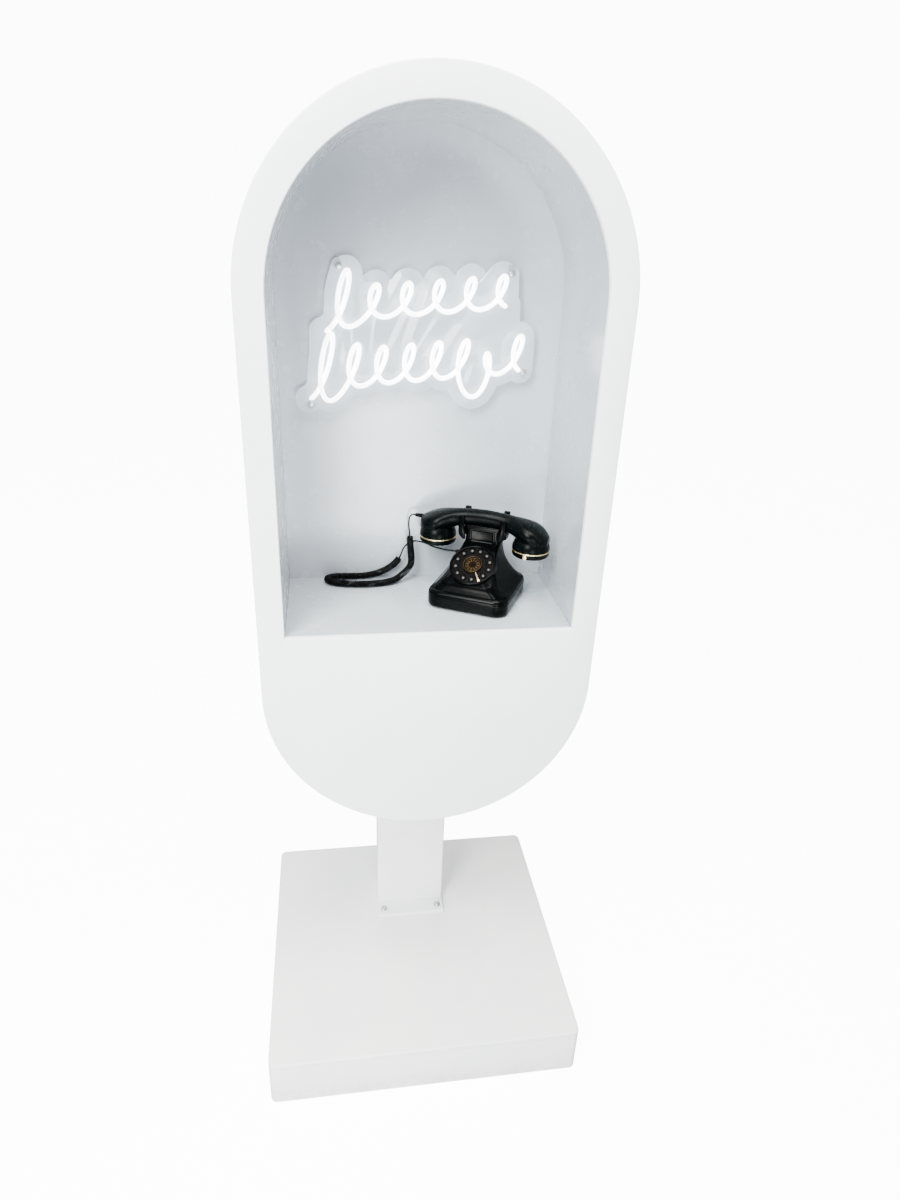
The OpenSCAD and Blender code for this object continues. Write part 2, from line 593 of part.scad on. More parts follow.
front_panel();
outer_band();
back_panel();
niche_arch();
niche_floor();
frame_battens();
shelf_battens();
stiffener_plate();
cabinet_screws();
post();
post_cap();
post_flange();
post_bolts();
flange_bolts();
base_top();
base_skirt();
base_bottom();
ballast_plate();
post_block();
sign_board();
sign_tube(upper_row);  // sign_tube_upper
sign_tube(lower_row);  // sign_tube_lower
sign_standoffs();
sign_driver();
power_inlet();
phone_body();
phone_base_plate();
phone_feet();
neck_panel();
cradle();
dial_bezel();
dial_face();
dial_badge();
finger_stop();
keypad_board();
recorder_board();
battery_pack();
hook_switch();
cord_socket();
handset_cord();
key_button(1);  // key_1
key_button(2);  // key_2
key_button(3);  // key_3
key_button(4);  // key_4
key_button(5);  // key_5
key_button(6);  // key_6
key_button(7);  // key_7
key_button(8);  // key_8
key_button(9);  // key_9
key_button(10);  // key_10
key_button(11);  // key_11
key_button(12);  // key_12
hook_plunger();
handset_shell();
receiver_cap();
transmitter_cap();
cup_rings();
receiver_capsule();
microphone_capsule();
cord_relief();
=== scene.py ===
import math

import bmesh
import bpy
from mathutils import Matrix, Vector


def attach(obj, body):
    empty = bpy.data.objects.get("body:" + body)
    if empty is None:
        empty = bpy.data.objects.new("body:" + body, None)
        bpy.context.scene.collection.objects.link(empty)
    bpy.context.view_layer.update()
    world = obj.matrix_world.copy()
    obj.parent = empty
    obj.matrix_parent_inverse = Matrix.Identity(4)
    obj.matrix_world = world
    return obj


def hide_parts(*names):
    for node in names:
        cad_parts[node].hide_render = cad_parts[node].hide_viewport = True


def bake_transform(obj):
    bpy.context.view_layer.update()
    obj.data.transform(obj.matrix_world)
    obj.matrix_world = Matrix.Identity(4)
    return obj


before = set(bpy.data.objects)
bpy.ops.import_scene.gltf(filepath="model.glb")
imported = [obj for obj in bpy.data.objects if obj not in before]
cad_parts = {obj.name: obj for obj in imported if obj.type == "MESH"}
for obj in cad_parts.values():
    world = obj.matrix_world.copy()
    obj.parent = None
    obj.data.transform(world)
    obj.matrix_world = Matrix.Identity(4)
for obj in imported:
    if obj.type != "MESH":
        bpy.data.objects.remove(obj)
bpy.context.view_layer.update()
scene = bpy.context.scene

# all sizes below are millimetres unless a name says otherwise, and newPiece turns them into metres
cameraSetup = {
    "place": (-158.65, -1292.48, 1562.54),
    "heading": 9.28807,
    "dip": 25.3952,
    "roll": 2.35739,
    "lens": 23.71,
}


def addCamera(setup):
    yaw, dip, roll = (math.radians(setup[k]) for k in ("heading", "dip", "roll"))
    ahead = Vector((math.sin(yaw) * math.cos(dip), math.cos(yaw) * math.cos(dip), -math.sin(dip)))
    side = Vector((math.cos(yaw), -math.sin(yaw), 0))
    up = side.cross(ahead)
    across = side * math.cos(roll) + up * math.sin(roll)
    over = up * math.cos(roll) - side * math.sin(roll)
    camera = bpy.data.objects.new("photographerView", bpy.data.cameras.new("photographerView"))
    camera.data.lens = setup["lens"]
    camera.data.sensor_width = 36
    camera.data.sensor_fit = "AUTO"
    camera.data.clip_start = 0.02
    turn = Matrix((across, over, -ahead)).transposed().to_4x4()
    camera.matrix_world = Matrix.Translation(Vector(setup["place"]) * 0.001) @ turn
    scene.collection.objects.link(camera)
    scene.camera = camera


addCamera(cameraSetup)
print("camera placed")


# materials
def sheetColour(hexText):
    def straight(v):
        return v / 12.92 if v <= 0.04045 else ((v + 0.055) / 1.055) ** 2.4
    return tuple(straight(int(hexText[i:i + 2], 16) / 255) for i in (1, 3, 5)) + (1,)


def addNode(tree, kind, settings=None, links=None):
    node = tree.nodes.new(kind)
    for key, value in (settings or {}).items():
        if isinstance(key, int) or key in node.inputs:
            node.inputs[key].default_value = value
        else:
            setattr(node, key, value)
    for key, source in (links or {}).items():
        tree.links.new(source, node.inputs[key])
    return node


def newMaterial(name, surface):
    material = bpy.data.materials.new(name)
    material.use_nodes = True
    tree = material.node_tree
    shader = tree.nodes["Principled BSDF"]
    for key, value in surface.items():
        shader.inputs[key].default_value = value
    return material, tree, shader


def addRamp(tree, source, stops):
    ramp = addNode(tree, "ShaderNodeValToRGB", links={"Fac": source})
    marks = ramp.color_ramp.elements
    while len(marks) < len(stops):
        marks.new(0.5)
    for mark, (place, tint) in zip(marks, stops):
        mark.position = place
        mark.color = sheetColour(tint) if isinstance(tint, str) else (tint, tint, tint, 1)
    return ramp.outputs["Color"]


def objectSpot(tree):
    return addNode(tree, "ShaderNodeTexCoord").outputs["Object"]


def addGrain(tree, size, detail=3.0, rough=0.55, stretch=(1, 1, 1), lift=0.0):
    # noise whose lumps are about size millimetres across
    place = addNode(tree, "ShaderNodeMapping", {"Scale": stretch, "Location": (lift, lift * 0.7, 0)},
                    {"Vector": objectSpot(tree)})
    noise = addNode(tree, "ShaderNodeTexNoise",
                    {"Scale": 1000 / size, "Detail": detail, "Roughness": rough},
                    {"Vector": place.outputs["Vector"]})
    return noise.outputs["Fac"]


def addBump(tree, shader, height, distance, strength=1.0, under=None):
    # distance is in millimetres
    links = {"Height": height}
    if under is not None:
        links["Normal"] = under
    bump = addNode(tree, "ShaderNodeBump", {"Strength": strength, "Distance": distance * 0.001}, links)
    tree.links.new(bump.outputs["Normal"], shader.inputs["Normal"])
    return bump.outputs["Normal"]


def feed(tree, plug, value):
    # a link where the value is another node's socket, else the value itself
    if isinstance(value, bpy.types.NodeSocket):
        tree.links.new(value, plug)
    else:
        plug.default_value = sheetColour(value) if isinstance(value, str) else value


def mixTints(tree, share, low, high):
    node = addNode(tree, "ShaderNodeMix", {"data_type": "RGBA"}, {"Factor": share})
    for socket, tint in (("A", low), ("B", high)):
        feed(tree, [s for s in node.inputs if s.name == socket and s.type == "RGBA"][0], tint)
    return [s for s in node.outputs if s.type == "RGBA"][0]


def mulNode(tree, first, second):
    node = addNode(tree, "ShaderNodeMath", {"operation": "MULTIPLY"}, {0: first})
    feed(tree, node.inputs[1], second)
    return node.outputs["Value"]


def dressShader(tree, shader, tone, roughness):
    tree.links.new(tone, shader.inputs["Base Color"])
    tree.links.new(roughness, shader.inputs["Roughness"])


def sprayedPaint(name, tint, shade, gloss, peel, dirt, coat=0.12, sheen=0.5):
    # sprayed paint: fine orange peel, faint sanding waves, scuffs and a little dust settled low down
    material, tree, shader = newMaterial(name, {"Coat Weight": coat, "Coat Roughness": 0.22,
                                                "Specular IOR Level": sheen})
    cloud = addGrain(tree, 140, 2.0)
    soot = addGrain(tree, 9, 5.0, 0.7, lift=3.1)
    tone = mixTints(tree, addRamp(tree, cloud, [(0.35, 0.0), (0.7, 1.0)]), tint, shade)
    marks = addRamp(tree, soot, [(0.66, 0.0), (0.78, 1.0)])
    tone = mixTints(tree, mulNode(tree, marks, dirt), tone, "#b9b6ae")
    height = addNode(tree, "ShaderNodeSeparateXYZ", links={"Vector": objectSpot(tree)}).outputs["Z"]
    low = addRamp(tree, height, [(0.0, 1.0), (0.045, 0.0)])
    dust = addRamp(tree, addGrain(tree, 22, 4.0, lift=1.7), [(0.38, 0.0), (0.72, 1.0)])
    tone = mixTints(tree, mulNode(tree, mulNode(tree, low, dust), 0.45), tone, "#9d9a92")
    dressShader(tree, shader, tone,
                addRamp(tree, addGrain(tree, 35, 4.0, lift=5.0), [(0.3, gloss), (0.75, gloss + 0.05)]))
    wave = addBump(tree, shader, addGrain(tree, 60, 1.0, lift=8.0), 0.06, 0.2)
    addBump(tree, shader, addGrain(tree, 1.6, 2.0, 0.45), peel, 0.5, wave)
    return material


def mouldedPlastic(name, tint, shade, gloss, grainSize, grainDepth, coat=0.0, dust=0.25, sheen=0.4):
    # moulded plastic: slight mottling, hairline scratches, finger marks in the gloss, dust specks
    material, tree, shader = newMaterial(name, {"Coat Weight": coat, "Coat Roughness": 0.12,
                                                "Specular IOR Level": sheen})
    tone = mixTints(tree, addGrain(tree, 18, 3.0), tint, shade)
    specks = addRamp(tree, addGrain(tree, 1.1, 2.0, lift=2.2), [(0.69, 0.0), (0.76, 1.0)])
    tone = mixTints(tree, mulNode(tree, specks, dust), tone, "#8d9092")
    smear = addGrain(tree, 26, 4.0, 0.6, lift=4.0)
    hair = addGrain(tree, 2.2, 3.0, 0.8, stretch=(1, 0.05, 0.3), lift=6.0)
    both = addNode(tree, "ShaderNodeMath", {"operation": "MULTIPLY_ADD", 1: 0.35}, {0: hair, 2: smear})
    dressShader(tree, shader, tone,
                addRamp(tree, both.outputs["Value"], [(0.35, gloss), (1.0, gloss + 0.14)]))
    addBump(tree, shader, addGrain(tree, grainSize, 2.0), grainDepth, 0.6)
    return material


def workedMetal(name, tint, patina, gloss, brush, tarnish):
    # metal: brushed or turned lines, tarnish in patches
    material, tree, shader = newMaterial(name, {"Metallic": 1.0})
    patch = addRamp(tree, addGrain(tree, 5, 4.0, 0.65, lift=2.0), [(0.42, 0.0), (0.72, 1.0)])
    lines = addGrain(tree, 0.8, 2.0, stretch=brush, lift=1.0)
    dressShader(tree, shader, mixTints(tree, mulNode(tree, patch, tarnish), tint, patina),
                addRamp(tree, lines, [(0.25, gloss), (0.8, gloss + 0.2)]))
    addBump(tree, shader, lines, 0.02, 0.4)
    return material


def sawnTimber(name, tint, shade, along):
    # sawn softwood or ply: growth bands stretched along the grain, open pores
    material, tree, shader = newMaterial(name, {"Roughness": 0.72})
    bands = addGrain(tree, 11, 4.0, 0.6, stretch=along)
    pores = addGrain(tree, 1.4, 3.0, 0.7, stretch=along, lift=3.0)
    tone = mixTints(tree, addRamp(tree, bands, [(0.35, 0.0), (0.65, 1.0)]), tint, shade)
    dark = mulNode(tree, addRamp(tree, pores, [(0.55, 0.0), (0.75, 1.0)]), 0.4)
    tree.links.new(mixTints(tree, dark, tone, "#6f5231"), shader.inputs["Base Color"])
    addBump(tree, shader, pores, 0.25, 0.6)
    return material


def clearAcrylic():
    # cast acrylic sheet: clear, faint haze from wiping, and a faint painted glow over the whole sheet
    # painted light: the emission makes the whole sheet glow, lifting the shade that the glass throws on the
    # wall behind
    material, tree, shader = newMaterial("clearAcrylicPaintedGlow", {
        "Base Color": sheetColour("#f6fbfc"), "Transmission Weight": 0.93, "IOR": 1.49,
        "Emission Color": sheetColour("#eef4ff"), "Emission Strength": 0.33})
    haze = addGrain(tree, 30, 5.0, 0.7)
    tree.links.new(addRamp(tree, haze, [(0.35, 0.02), (0.8, 0.09)]), shader.inputs["Roughness"])
    addBump(tree, shader, addGrain(tree, 3, 2.0, stretch=(1, 1, 0.1)), 0.02, 0.3)
    return material


def litSilicone():
    # lit silicone neon tube: milky skin over a bright core, the light uneven by a few percent
    material, tree, shader = newMaterial("litNeonSilicone", {
        "Base Color": sheetColour("#fdfdfd"), "Roughness": 0.42, "Subsurface Weight": 0.2,
        "Emission Color": sheetColour("#f8faff")})
    bands = addGrain(tree, 16, 2.0, lift=2.0)
    tree.links.new(addRamp(tree, bands, [(0.3, 0.80), (0.7, 1.0)]), shader.inputs["Emission Color"])
    shader.inputs["Emission Strength"].default_value = 9.0
    addBump(tree, shader, addGrain(tree, 1.2, 2.0), 0.02, 0.4)
    return material


finishes = {
    # cabinet lacquer, satin
    "cabinet": sprayedPaint("satinWhiteLacquer", "#f3f5f5", "#edf0f1", 0.34, 0.05, 0.10),
    # niche lining: the white lacquer greyed as painted shade inside the niche, and glossier
    "niche": sprayedPaint("nicheLacquerPaintedShade", "#a8aeb4", "#a0a6ad", 0.24, 0.03, 0.01, 0.35, 0.85),
    # base and post, powder coated
    "base": sprayedPaint("whitePowderCoat", "#f3f3f1", "#ebecec", 0.38, 0.09, 0.22),
    # telephone casing, polished black plastic
    "gloss": mouldedPlastic("polishedBlackPlastic", "#010202", "#020303", 0.13, 2.5, 0.004, 0.0, 0.02,
                            0.045),
    # handset, the same plastic handled more
    "handset": mouldedPlastic("handledBlackPlastic", "#010303", "#020404", 0.22, 2.0, 0.006, 0.0, 0.02,
                              0.05),
    # dial plate, dark brown black with fine texture
    "dial": mouldedPlastic("satinDialPlastic", "#030202", "#050303", 0.32, 0.8, 0.008, 0.0, 0.02, 0.045),
    "satin": mouldedPlastic("satinBlackPlastic", "#020303", "#040505", 0.36, 0.7, 0.01, 0.0, 0.02, 0.05),
    "grey": mouldedPlastic("greyHousingPlastic", "#5c6063", "#6a6e70", 0.5, 0.9, 0.04),
    "rubber": mouldedPlastic("matteRubber", "#141414", "#1e1e1e", 0.75, 0.6, 0.08),
    "cord": mouldedPlastic("softCordVinyl", "#010202", "#030404", 0.33, 1.2, 0.01, 0.0, 0.03, 0.07),
    # keys, silvered plastic caps
    "key": workedMetal("silveredKeyCaps", "#4a4b49", "#201f1d", 0.36, (1, 1, 1), 0.5),
    # bands and finger stop, polished brass plate
    "brass": workedMetal("polishedBrassPlate", "#dccb98", "#a5874f", 0.18, (1, 1, 6), 0.25),
    # badge, antiqued brass
    "badge": workedMetal("antiquedBrass", "#130e0a", "#060403", 0.40, (1, 1, 1), 0.8),
    # badge relief, the same brass rubbed bright
    "relief": workedMetal("rubbedBrassRelief", "#453724", "#1b140c", 0.38, (1, 1, 1), 0.6),
    "zinc": workedMetal("zincPlatedSteel", "#c4c8c9", "#8d9193", 0.30, (1, 6, 1), 0.4),
    "steel": workedMetal("millFinishSteel", "#8f8f8d", "#4e4a46", 0.45, (6, 1, 1), 0.6),
    "timber": sawnTimber("sawnPine", "#c9a774", "#a8814f", (1, 1, 0.12)),
    "ply": sawnTimber("birchPly", "#cfb083", "#b4905f", (0.12, 1, 1)),
    "board": mouldedPlastic("greenCircuitBoard", "#0e4a2a", "#146038", 0.4, 0.5, 0.05, 0.2),
    "capsule": workedMetal("stampedCapsuleMetal", "#9a9c9c", "#5d5c58", 0.4, (1, 1, 1), 0.4),
    "acrylic": clearAcrylic(),
    "neon": litSilicone(),
}
print("materials made:", len(finishes))


# outline helpers
def arcPairs(steps, turn):
    # (cosine, sine) pairs from 0 to turn, both ends included
    return [(math.cos(turn * k / steps), math.sin(turn * k / steps)) for k in range(steps + 1)]


def circlePairs(steps):
    return arcPairs(steps, 2 * math.pi)[:-1]


def squarer(value, power):
    # bends a cosine or sine towards a square's side as the power falls below 1
    return math.copysign(abs(value) ** power, value)


def quarterSteps(size, steps=4):
    # (depth, inset) pairs round a quarter circle from the side to the face
    return [(size * (1 - s), size * (1 - c)) for c, s in arcPairs(steps, math.pi / 2)]


def corneredOutline(half, front, back, corner, steps):
    # a rectangle's outline with round corners
    points = []
    for c, (side, y) in enumerate(((1, back - corner), (-1, back - corner), (-1, front + corner),
                                   (1, front + corner))):
        for k in range(steps + 1):
            a = math.radians(90 * c + 90 * k / steps)
            points.append((side * (half - corner) + corner * math.cos(a), y + corner * math.sin(a)))
    return points


def roundedOutline(width, depth, corner, inset=0.0, steps=8):
    deep = depth / 2 - inset
    return corneredOutline(width / 2 - inset, -deep, deep, max(corner - inset, 0.05), steps)


def shrunk(outline, inset):
    # the outline moved inwards, each corner along the mean of its two sides
    moved = []
    for i, (x, z) in enumerate(outline):
        (ax, az), (bx, bz) = outline[i - 1], outline[(i + 1) % len(outline)]
        reach = math.hypot(bx - ax, bz - az) or 1.0
        moved.append((x + inset * (bz - az) / reach, z - inset * (bx - ax) / reach))
    return moved


def upright(levels):
    # rings from (y, outline) pairs
    return [[(x, y, z) for x, z in outline] for y, outline in levels]


# mesh helpers
def newPiece(name, points, faces, place=None):
    mesh = bpy.data.meshes.new(name)
    turn = place or Matrix.Identity(4)
    mesh.from_pydata([(turn @ Vector(p)) * 0.001 for p in points], [], faces)
    piece = bpy.data.objects.new(name, mesh)
    scene.collection.objects.link(piece)
    return piece


def tidySurface(piece, sharp=32):
    # merges seams, turns every face outwards and keeps only real edges sharp
    work = bmesh.new()
    work.from_mesh(piece.data)
    bmesh.ops.remove_doubles(work, verts=work.verts, dist=2e-6)
    bmesh.ops.recalc_face_normals(work, faces=work.faces)
    work.to_mesh(piece.data)
    work.free()
    for face in piece.data.polygons:
        face.use_smooth = True
    piece.data.set_sharp_from_angle(angle=math.radians(sharp))
    return piece


def skinned(name, rings, place=None, ends=True, closed=False, sharp=32):
    # a surface through rings of equally many points, capped or joined end to end
    n = len(rings[0])
    faces = []
    for i in range(len(rings) if closed else len(rings) - 1):
        j = (i + 1) % len(rings)
        for k in range(n):
            m = (k + 1) % n
            faces.append((i * n + k, i * n + m, j * n + m, j * n + k))
    if ends and not closed:
        faces.append(tuple(range(n)))
        faces.append(tuple((len(rings) - 1) * n + k for k in range(n)))
    return tidySurface(newPiece(name, [p for r in rings for p in r], faces, place), sharp)


def turned(name, profile, place, steps=64, loop=False, sharp=32):
    # a lathe shape from (radius, height) pairs, poles merged
    rings = [[(r * c, r * s, z) for c, s in circlePairs(steps)] for r, z in profile]
    return skinned(name, rings, place, ends=False, closed=loop, sharp=sharp)


def drillShape(name, radius, low, high, place, steps):
    return turned(name, [(0.01, low), (radius, low), (radius, high), (0.01, high)], place, steps)


def easedBlock(name, size, corner, low, high, place, ease, bottomEase=None):
    # a block with round corners whose lower and upper edges are rounded
    bottom = ease if bottomEase is None else bottomEase
    levels = [(low + depth, inset) for depth, inset in quarterSteps(bottom)[::-1]]
    levels += [(high - depth, inset) for depth, inset in quarterSteps(ease)]
    rings = [[(x, y, z) for x, y in roundedOutline(size[0], size[1], corner, inset)] for z, inset in levels]
    return skinned(name, rings, place, sharp=40)


def finishPiece(piece, finish, body, *nodes):
    piece.data.materials.clear()
    piece.data.materials.append(finishes[finish])
    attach(piece, body)
    if nodes:
        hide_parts(*nodes)
    return piece


def dressNode(finish, *names):
    # gives CAD nodes that keep their own shape a finish
    for name in names:
        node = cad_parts[name]
        if not node.material_slots:
            node.data.materials.append(None)
        for slot in node.material_slots:
            slot.link = "OBJECT"
            slot.material = finishes[finish]


def plainMesh(piece):
    # keeps what the modifiers make as a plain mesh and drops them
    graph = bpy.context.evaluated_depsgraph_get()
    mesh = bpy.data.meshes.new_from_object(piece.evaluated_get(graph), depsgraph=graph)
    piece.modifiers.clear()
    old = piece.data
    piece.data = mesh
    bpy.data.meshes.remove(old)
    return piece


def cutAway(piece, cutters, sharp):
    for cutter in cutters:
        cut = piece.modifiers.new("cut", "BOOLEAN")
        cut.operation = "DIFFERENCE"
        cut.object = cutter
        cut.solver = "EXACT"
    plainMesh(piece)
    for cutter in cutters:
        bpy.data.objects.remove(cutter)
    return tidySurface(piece, sharp)


# Geometry Nodes trees
def newTree(name, sockets):
    tree = bpy.data.node_groups.new(name, "GeometryNodeTree")
    tree.interface.new_socket("Geometry", in_out="INPUT", socket_type="NodeSocketGeometry")
    for label, kind in sockets:
        tree.interface.new_socket(label, in_out="INPUT", socket_type="NodeSocket" + kind)
    tree.interface.new_socket("Geometry", in_out="OUTPUT", socket_type="NodeSocketGeometry")
    return tree, tree.nodes.new("NodeGroupInput").outputs


def endTree(tree, geometry, material):
    real = addNode(tree, "GeometryNodeRealizeInstances", links={"Geometry": geometry})
    coat = addNode(tree, "GeometryNodeSetMaterial", links={"Geometry": real.outputs[0], "Material": material})
    addNode(tree, "NodeGroupOutput", links={0: coat.outputs[0]})


def makeTubeTree():
    # sweeps a round section along a line, its radius times the girth kept on each point
    tree, given = newTree("tubeAlongPath", [("Radius", "Float"), ("Sides", "Int"), ("Material", "Material")])
    line = addNode(tree, "GeometryNodeMeshToCurve", links={"Mesh": given["Geometry"]})
    girth = addNode(tree, "GeometryNodeInputNamedAttribute", {"data_type": "FLOAT", "Name": "girth"})
    sized = addNode(tree, "GeometryNodeSetCurveRadius",
                    links={"Curve": line.outputs[0], "Radius": girth.outputs["Attribute"]})
    ring = addNode(tree, "GeometryNodeCurvePrimitiveCircle",
                   links={"Resolution": given["Sides"], "Radius": given["Radius"]})
    swept = addNode(tree, "GeometryNodeCurveToMesh", {"Fill Caps": True},
                    {"Curve": sized.outputs[0], "Profile Curve": ring.outputs[0]})
    if "Scale" in swept.inputs:
        tree.links.new(girth.outputs["Attribute"], swept.inputs["Scale"])
    endTree(tree, swept.outputs[0], given["Material"])
    return tree


def spinNode(tree, angle):
    spin = addNode(tree, "ShaderNodeCombineXYZ", links={"Z": angle})
    return addNode(tree, "FunctionNodeEulerToRotation", links={0: spin.outputs[0]}).outputs[0]


def chanceTurn(tree, given):
    # all tilted as one, and each turned about its own axis by chance
    chance = addNode(tree, "FunctionNodeRandomValue", {"data_type": "FLOAT"}, {"Seed": given["Seed"]})
    feed(tree, [s for s in chance.inputs if s.name == "Max" and s.type == "VALUE"][0], given["Spread"])
    angle = [s for s in chance.outputs if s.type == "VALUE"][0]
    lean = addNode(tree, "FunctionNodeEulerToRotation", links={0: given["Tilt"]})
    return addNode(tree, "FunctionNodeRotateRotation", {"rotation_space": "GLOBAL"},
                   {0: spinNode(tree, angle), 1: lean.outputs[0]}).outputs[0]


def ringTurn(tree, given):
    # each turned to face out from the middle of a ring of Count points
    index = addNode(tree, "GeometryNodeInputIndex")
    share = addNode(tree, "ShaderNodeMath", {"operation": "DIVIDE"}, {0: index.outputs[0], 1: given["Count"]})
    return spinNode(tree, mulNode(tree, share.outputs[0], 2 * math.pi))


def makeCopiesTree(name, sockets, turnOf):
    # sets a copy of one piece on every point, turned as turnOf says
    tree, given = newTree(name, [("Piece", "Object")] + sockets + [("Material", "Material")])
    what = addNode(tree, "GeometryNodeObjectInfo", {"As Instance": True}, {"Object": given["Piece"]})
    copies = addNode(tree, "GeometryNodeInstanceOnPoints",
                     links={"Points": given["Geometry"], "Instance": what.outputs["Geometry"],
                            "Rotation": turnOf(tree, given)})
    endTree(tree, copies.outputs[0], given["Material"])
    return tree


tubeTree = makeTubeTree()
scatterTree = makeCopiesTree("piecesOnPoints", [("Tilt", "Vector"), ("Spread", "Float"), ("Seed", "Int")],
                             chanceTurn)
petalTree = makeCopiesTree("piecesRoundRing", [("Count", "Int")], ringTurn)


def growPiece(name, points, tree, settings, finish, joined=False, girth=None):
    # a line or a set of points, in millimetres, turned into a plain mesh by a tree
    mesh = bpy.data.meshes.new(name)
    edges = [(i, i + 1) for i in range(len(points) - 1)] if joined else []
    mesh.from_pydata([Vector(p) * 0.001 for p in points], edges, [])
    if joined:
        mesh.attributes.new("girth", "FLOAT", "POINT").data.foreach_set("value", girth or [1.0] * len(points))
    piece = bpy.data.objects.new(name, mesh)
    scene.collection.objects.link(piece)
    modifier = piece.modifiers.new(name, "NODES")
    modifier.node_group = tree
    values = dict(settings, Material=finishes[finish])
    for item in tree.interface.items_tree:
        if item.in_out == "INPUT" and item.name in values:
            modifier[item.identifier] = values[item.name]
    plainMesh(piece)
    if "girth" in piece.data.attributes:
        piece.data.attributes.remove(piece.data.attributes["girth"])
    return tidySurface(piece, 38)


def addHeads(name, points, head, tilt, seed, node):
    # one fastener on every point, as one zinc-plated piece
    heads = growPiece(name, points, scatterTree, {
        "Piece": head, "Tilt": tilt, "Spread": 2 * math.pi, "Seed": seed}, "zinc")
    bpy.data.objects.remove(head)
    return finishPiece(heads, "zinc", "booth", node)


# the curly cord, from the handset to the casing
cordPlan = {
    "wire": 3.0,
    "coilRadius": 5.25,
    "pitch": 3.35,
    "pointsPerTurn": 14,
    "sides": 8,
    "opening": 0.35,   # of a turn, from nothing to the coil's full radius at either end
    "leadGap": 1.6,
    "corner": (0, 83, 955),
    "blendWay": (-0.25, -0.2, 0.9),   # only the handset's end of the cord lies far out this way
    "blendSpan": (81.5, 118),
    "handsetLead": [(-7.2, -19.2, 129.5), (-12.5, -16.6, 128.8), (-17, -15, 123), (-18.5, -16, 112),
                    (-17.5, -18, 99)],
    "coil": [(-17, -21, 88), (-15, -22, 64), (-13.5, -23, 46), (-14, -24, 36), (-19, -27, 27), (-30, -32, 18),
             (-44, -38, 10), (-62, -44, 7.2), (-84, -48, 7.2), (-106, -49, 7.2), (-128, -47, 7.2),
             (-148, -41, 7.2), (-164, -32, 7.2), (-168, -21, 7.2), (-158, -13, 7.2), (-140, -11, 7.2),
             (-118, -12, 7.2), (-98, -12, 8), (-78, -12, 12), (-60, -13, 20), (-45, -14, 31), (-35, -14, 43)],
    "casingLead": [(-32, -13, 49), (-27, -11, 61), (-18, -10, 70), (-5, -11, 75), (10, -24, 76),
                   (24, -46, 77), (42, -71, 80.5), (52, -78.6, 81.8), (59.8, -82.5, 82)],
}


def smoothLine(points, steps):
    points = [Vector(p) for p in points]
    line = []
    for i in range(len(points) - 1):
        a, b, c, d = (points[min(max(i + k, 0), len(points) - 1)] for k in (-1, 0, 1, 2))
        for s in range(steps):
            t = s / steps
            line.append(0.5 * (2 * b + (c - a) * t + (2 * a - 5 * b + 4 * c - d) * t ** 2
                               + (3 * b - a - 3 * c + d) * t ** 3))
    return line + [points[-1]]


def evenLine(points, gap):
    # the same line with points a fixed distance apart
    out, left = [points[0]], gap
    for a, b in zip(points, points[1:]):
        length = (b - a).length
        while length >= left and length > 0:
            a = a + (b - a) * (left / length)
            out.append(a)
            length = (b - a).length
            left = gap
        left -= length
    return out


def windCoil(plan):
    # a helix round the coil's middle line, opening quickly at the start and closing at the end
    perTurn = plan["pointsPerTurn"]
    line = evenLine(smoothLine(plan["coil"], 24), plan["pitch"] / perTurn)
    side = (line[1] - line[0]).normalized().orthogonal().normalized()
    wound = []
    for i, spot in enumerate(line):
        ahead = (line[min(i + 1, len(line) - 1)] - line[max(i - 1, 0)]).normalized()
        side = (side - ahead * side.dot(ahead)).normalized()
        turn = 2 * math.pi * i / perTurn
        edge = min(i, len(line) - 1 - i) / (perTurn * plan["opening"])
        reach = plan["coilRadius"] * math.sin(min(edge, 1) * math.pi / 2)
        wound.append(spot + reach * (math.cos(turn) * side + math.sin(turn) * ahead.cross(side)))
    return wound


def makeCord(plan):
    corner, gap = Vector(plan["corner"]), plan["leadGap"]
    top = evenLine(smoothLine(plan["handsetLead"] + plan["coil"][:1], 8), gap)[:-1]
    end = evenLine(smoothLine(plan["coil"][-1:] + plan["casingLead"], 8), gap)[1:]
    path = [p + corner for p in top + windCoil(plan) + end + [Vector(plan["casingLead"][-1])]]
    cord = growPiece("handsetCurlyCord", path, tubeTree, {
        "Radius": plan["wire"] * 0.0005, "Sides": plan["sides"]}, "cord", joined=True)
    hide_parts("handset_cord")
    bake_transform(cord)


makeCord(cordPlan)


# cabinet
cabinetPlan = {
    "width": 560, "low": 845, "high": 1465, "front": -157, "panelBack": -148, "wall": 83, "back": 88,
    "nicheRadius": 238, "nicheFloor": 955, "liner": 4, "linerFoot": 60, "floorThick": 12, "band": 6,
    "edge": 2.0, "nicheEdge": 1.4, "joint": 0.25, "bevel": 0.3, "clear": 0.1, "arcSteps": 72,
}


def capsuleLine(plan, inset):
    r, arc = plan["width"] / 2 - inset, arcPairs(plan["arcSteps"], math.pi)
    return ([(r * c, plan["high"] + r * s) for c, s in arc]
            + [(-r * c, plan["low"] - r * s) for c, s in arc])


def panelLines(plan, inset, grow):
    # matching points on the outer edge and the niche's edge
    wide, r = plan["width"] / 2 - inset, plan["nicheRadius"] + grow
    sill, n = plan["nicheFloor"] - grow, plan["arcSteps"]
    arc = arcPairs(n, math.pi)
    outer = ([(wide * c, plan["high"] + wide * s) for c, s in arc] + [(-wide, sill)]
             + [(-wide * c, plan["low"] - wide * s) for c, s in arc] + [(wide, sill)])
    inner = ([(r * c, plan["high"] + r * s) for c, s in arc] + [(-r, sill)]
             + [(-r + 2 * r * (k + 1) / (n + 2), sill) for k in range(n + 1)] + [(r, sill)])
    return outer, inner


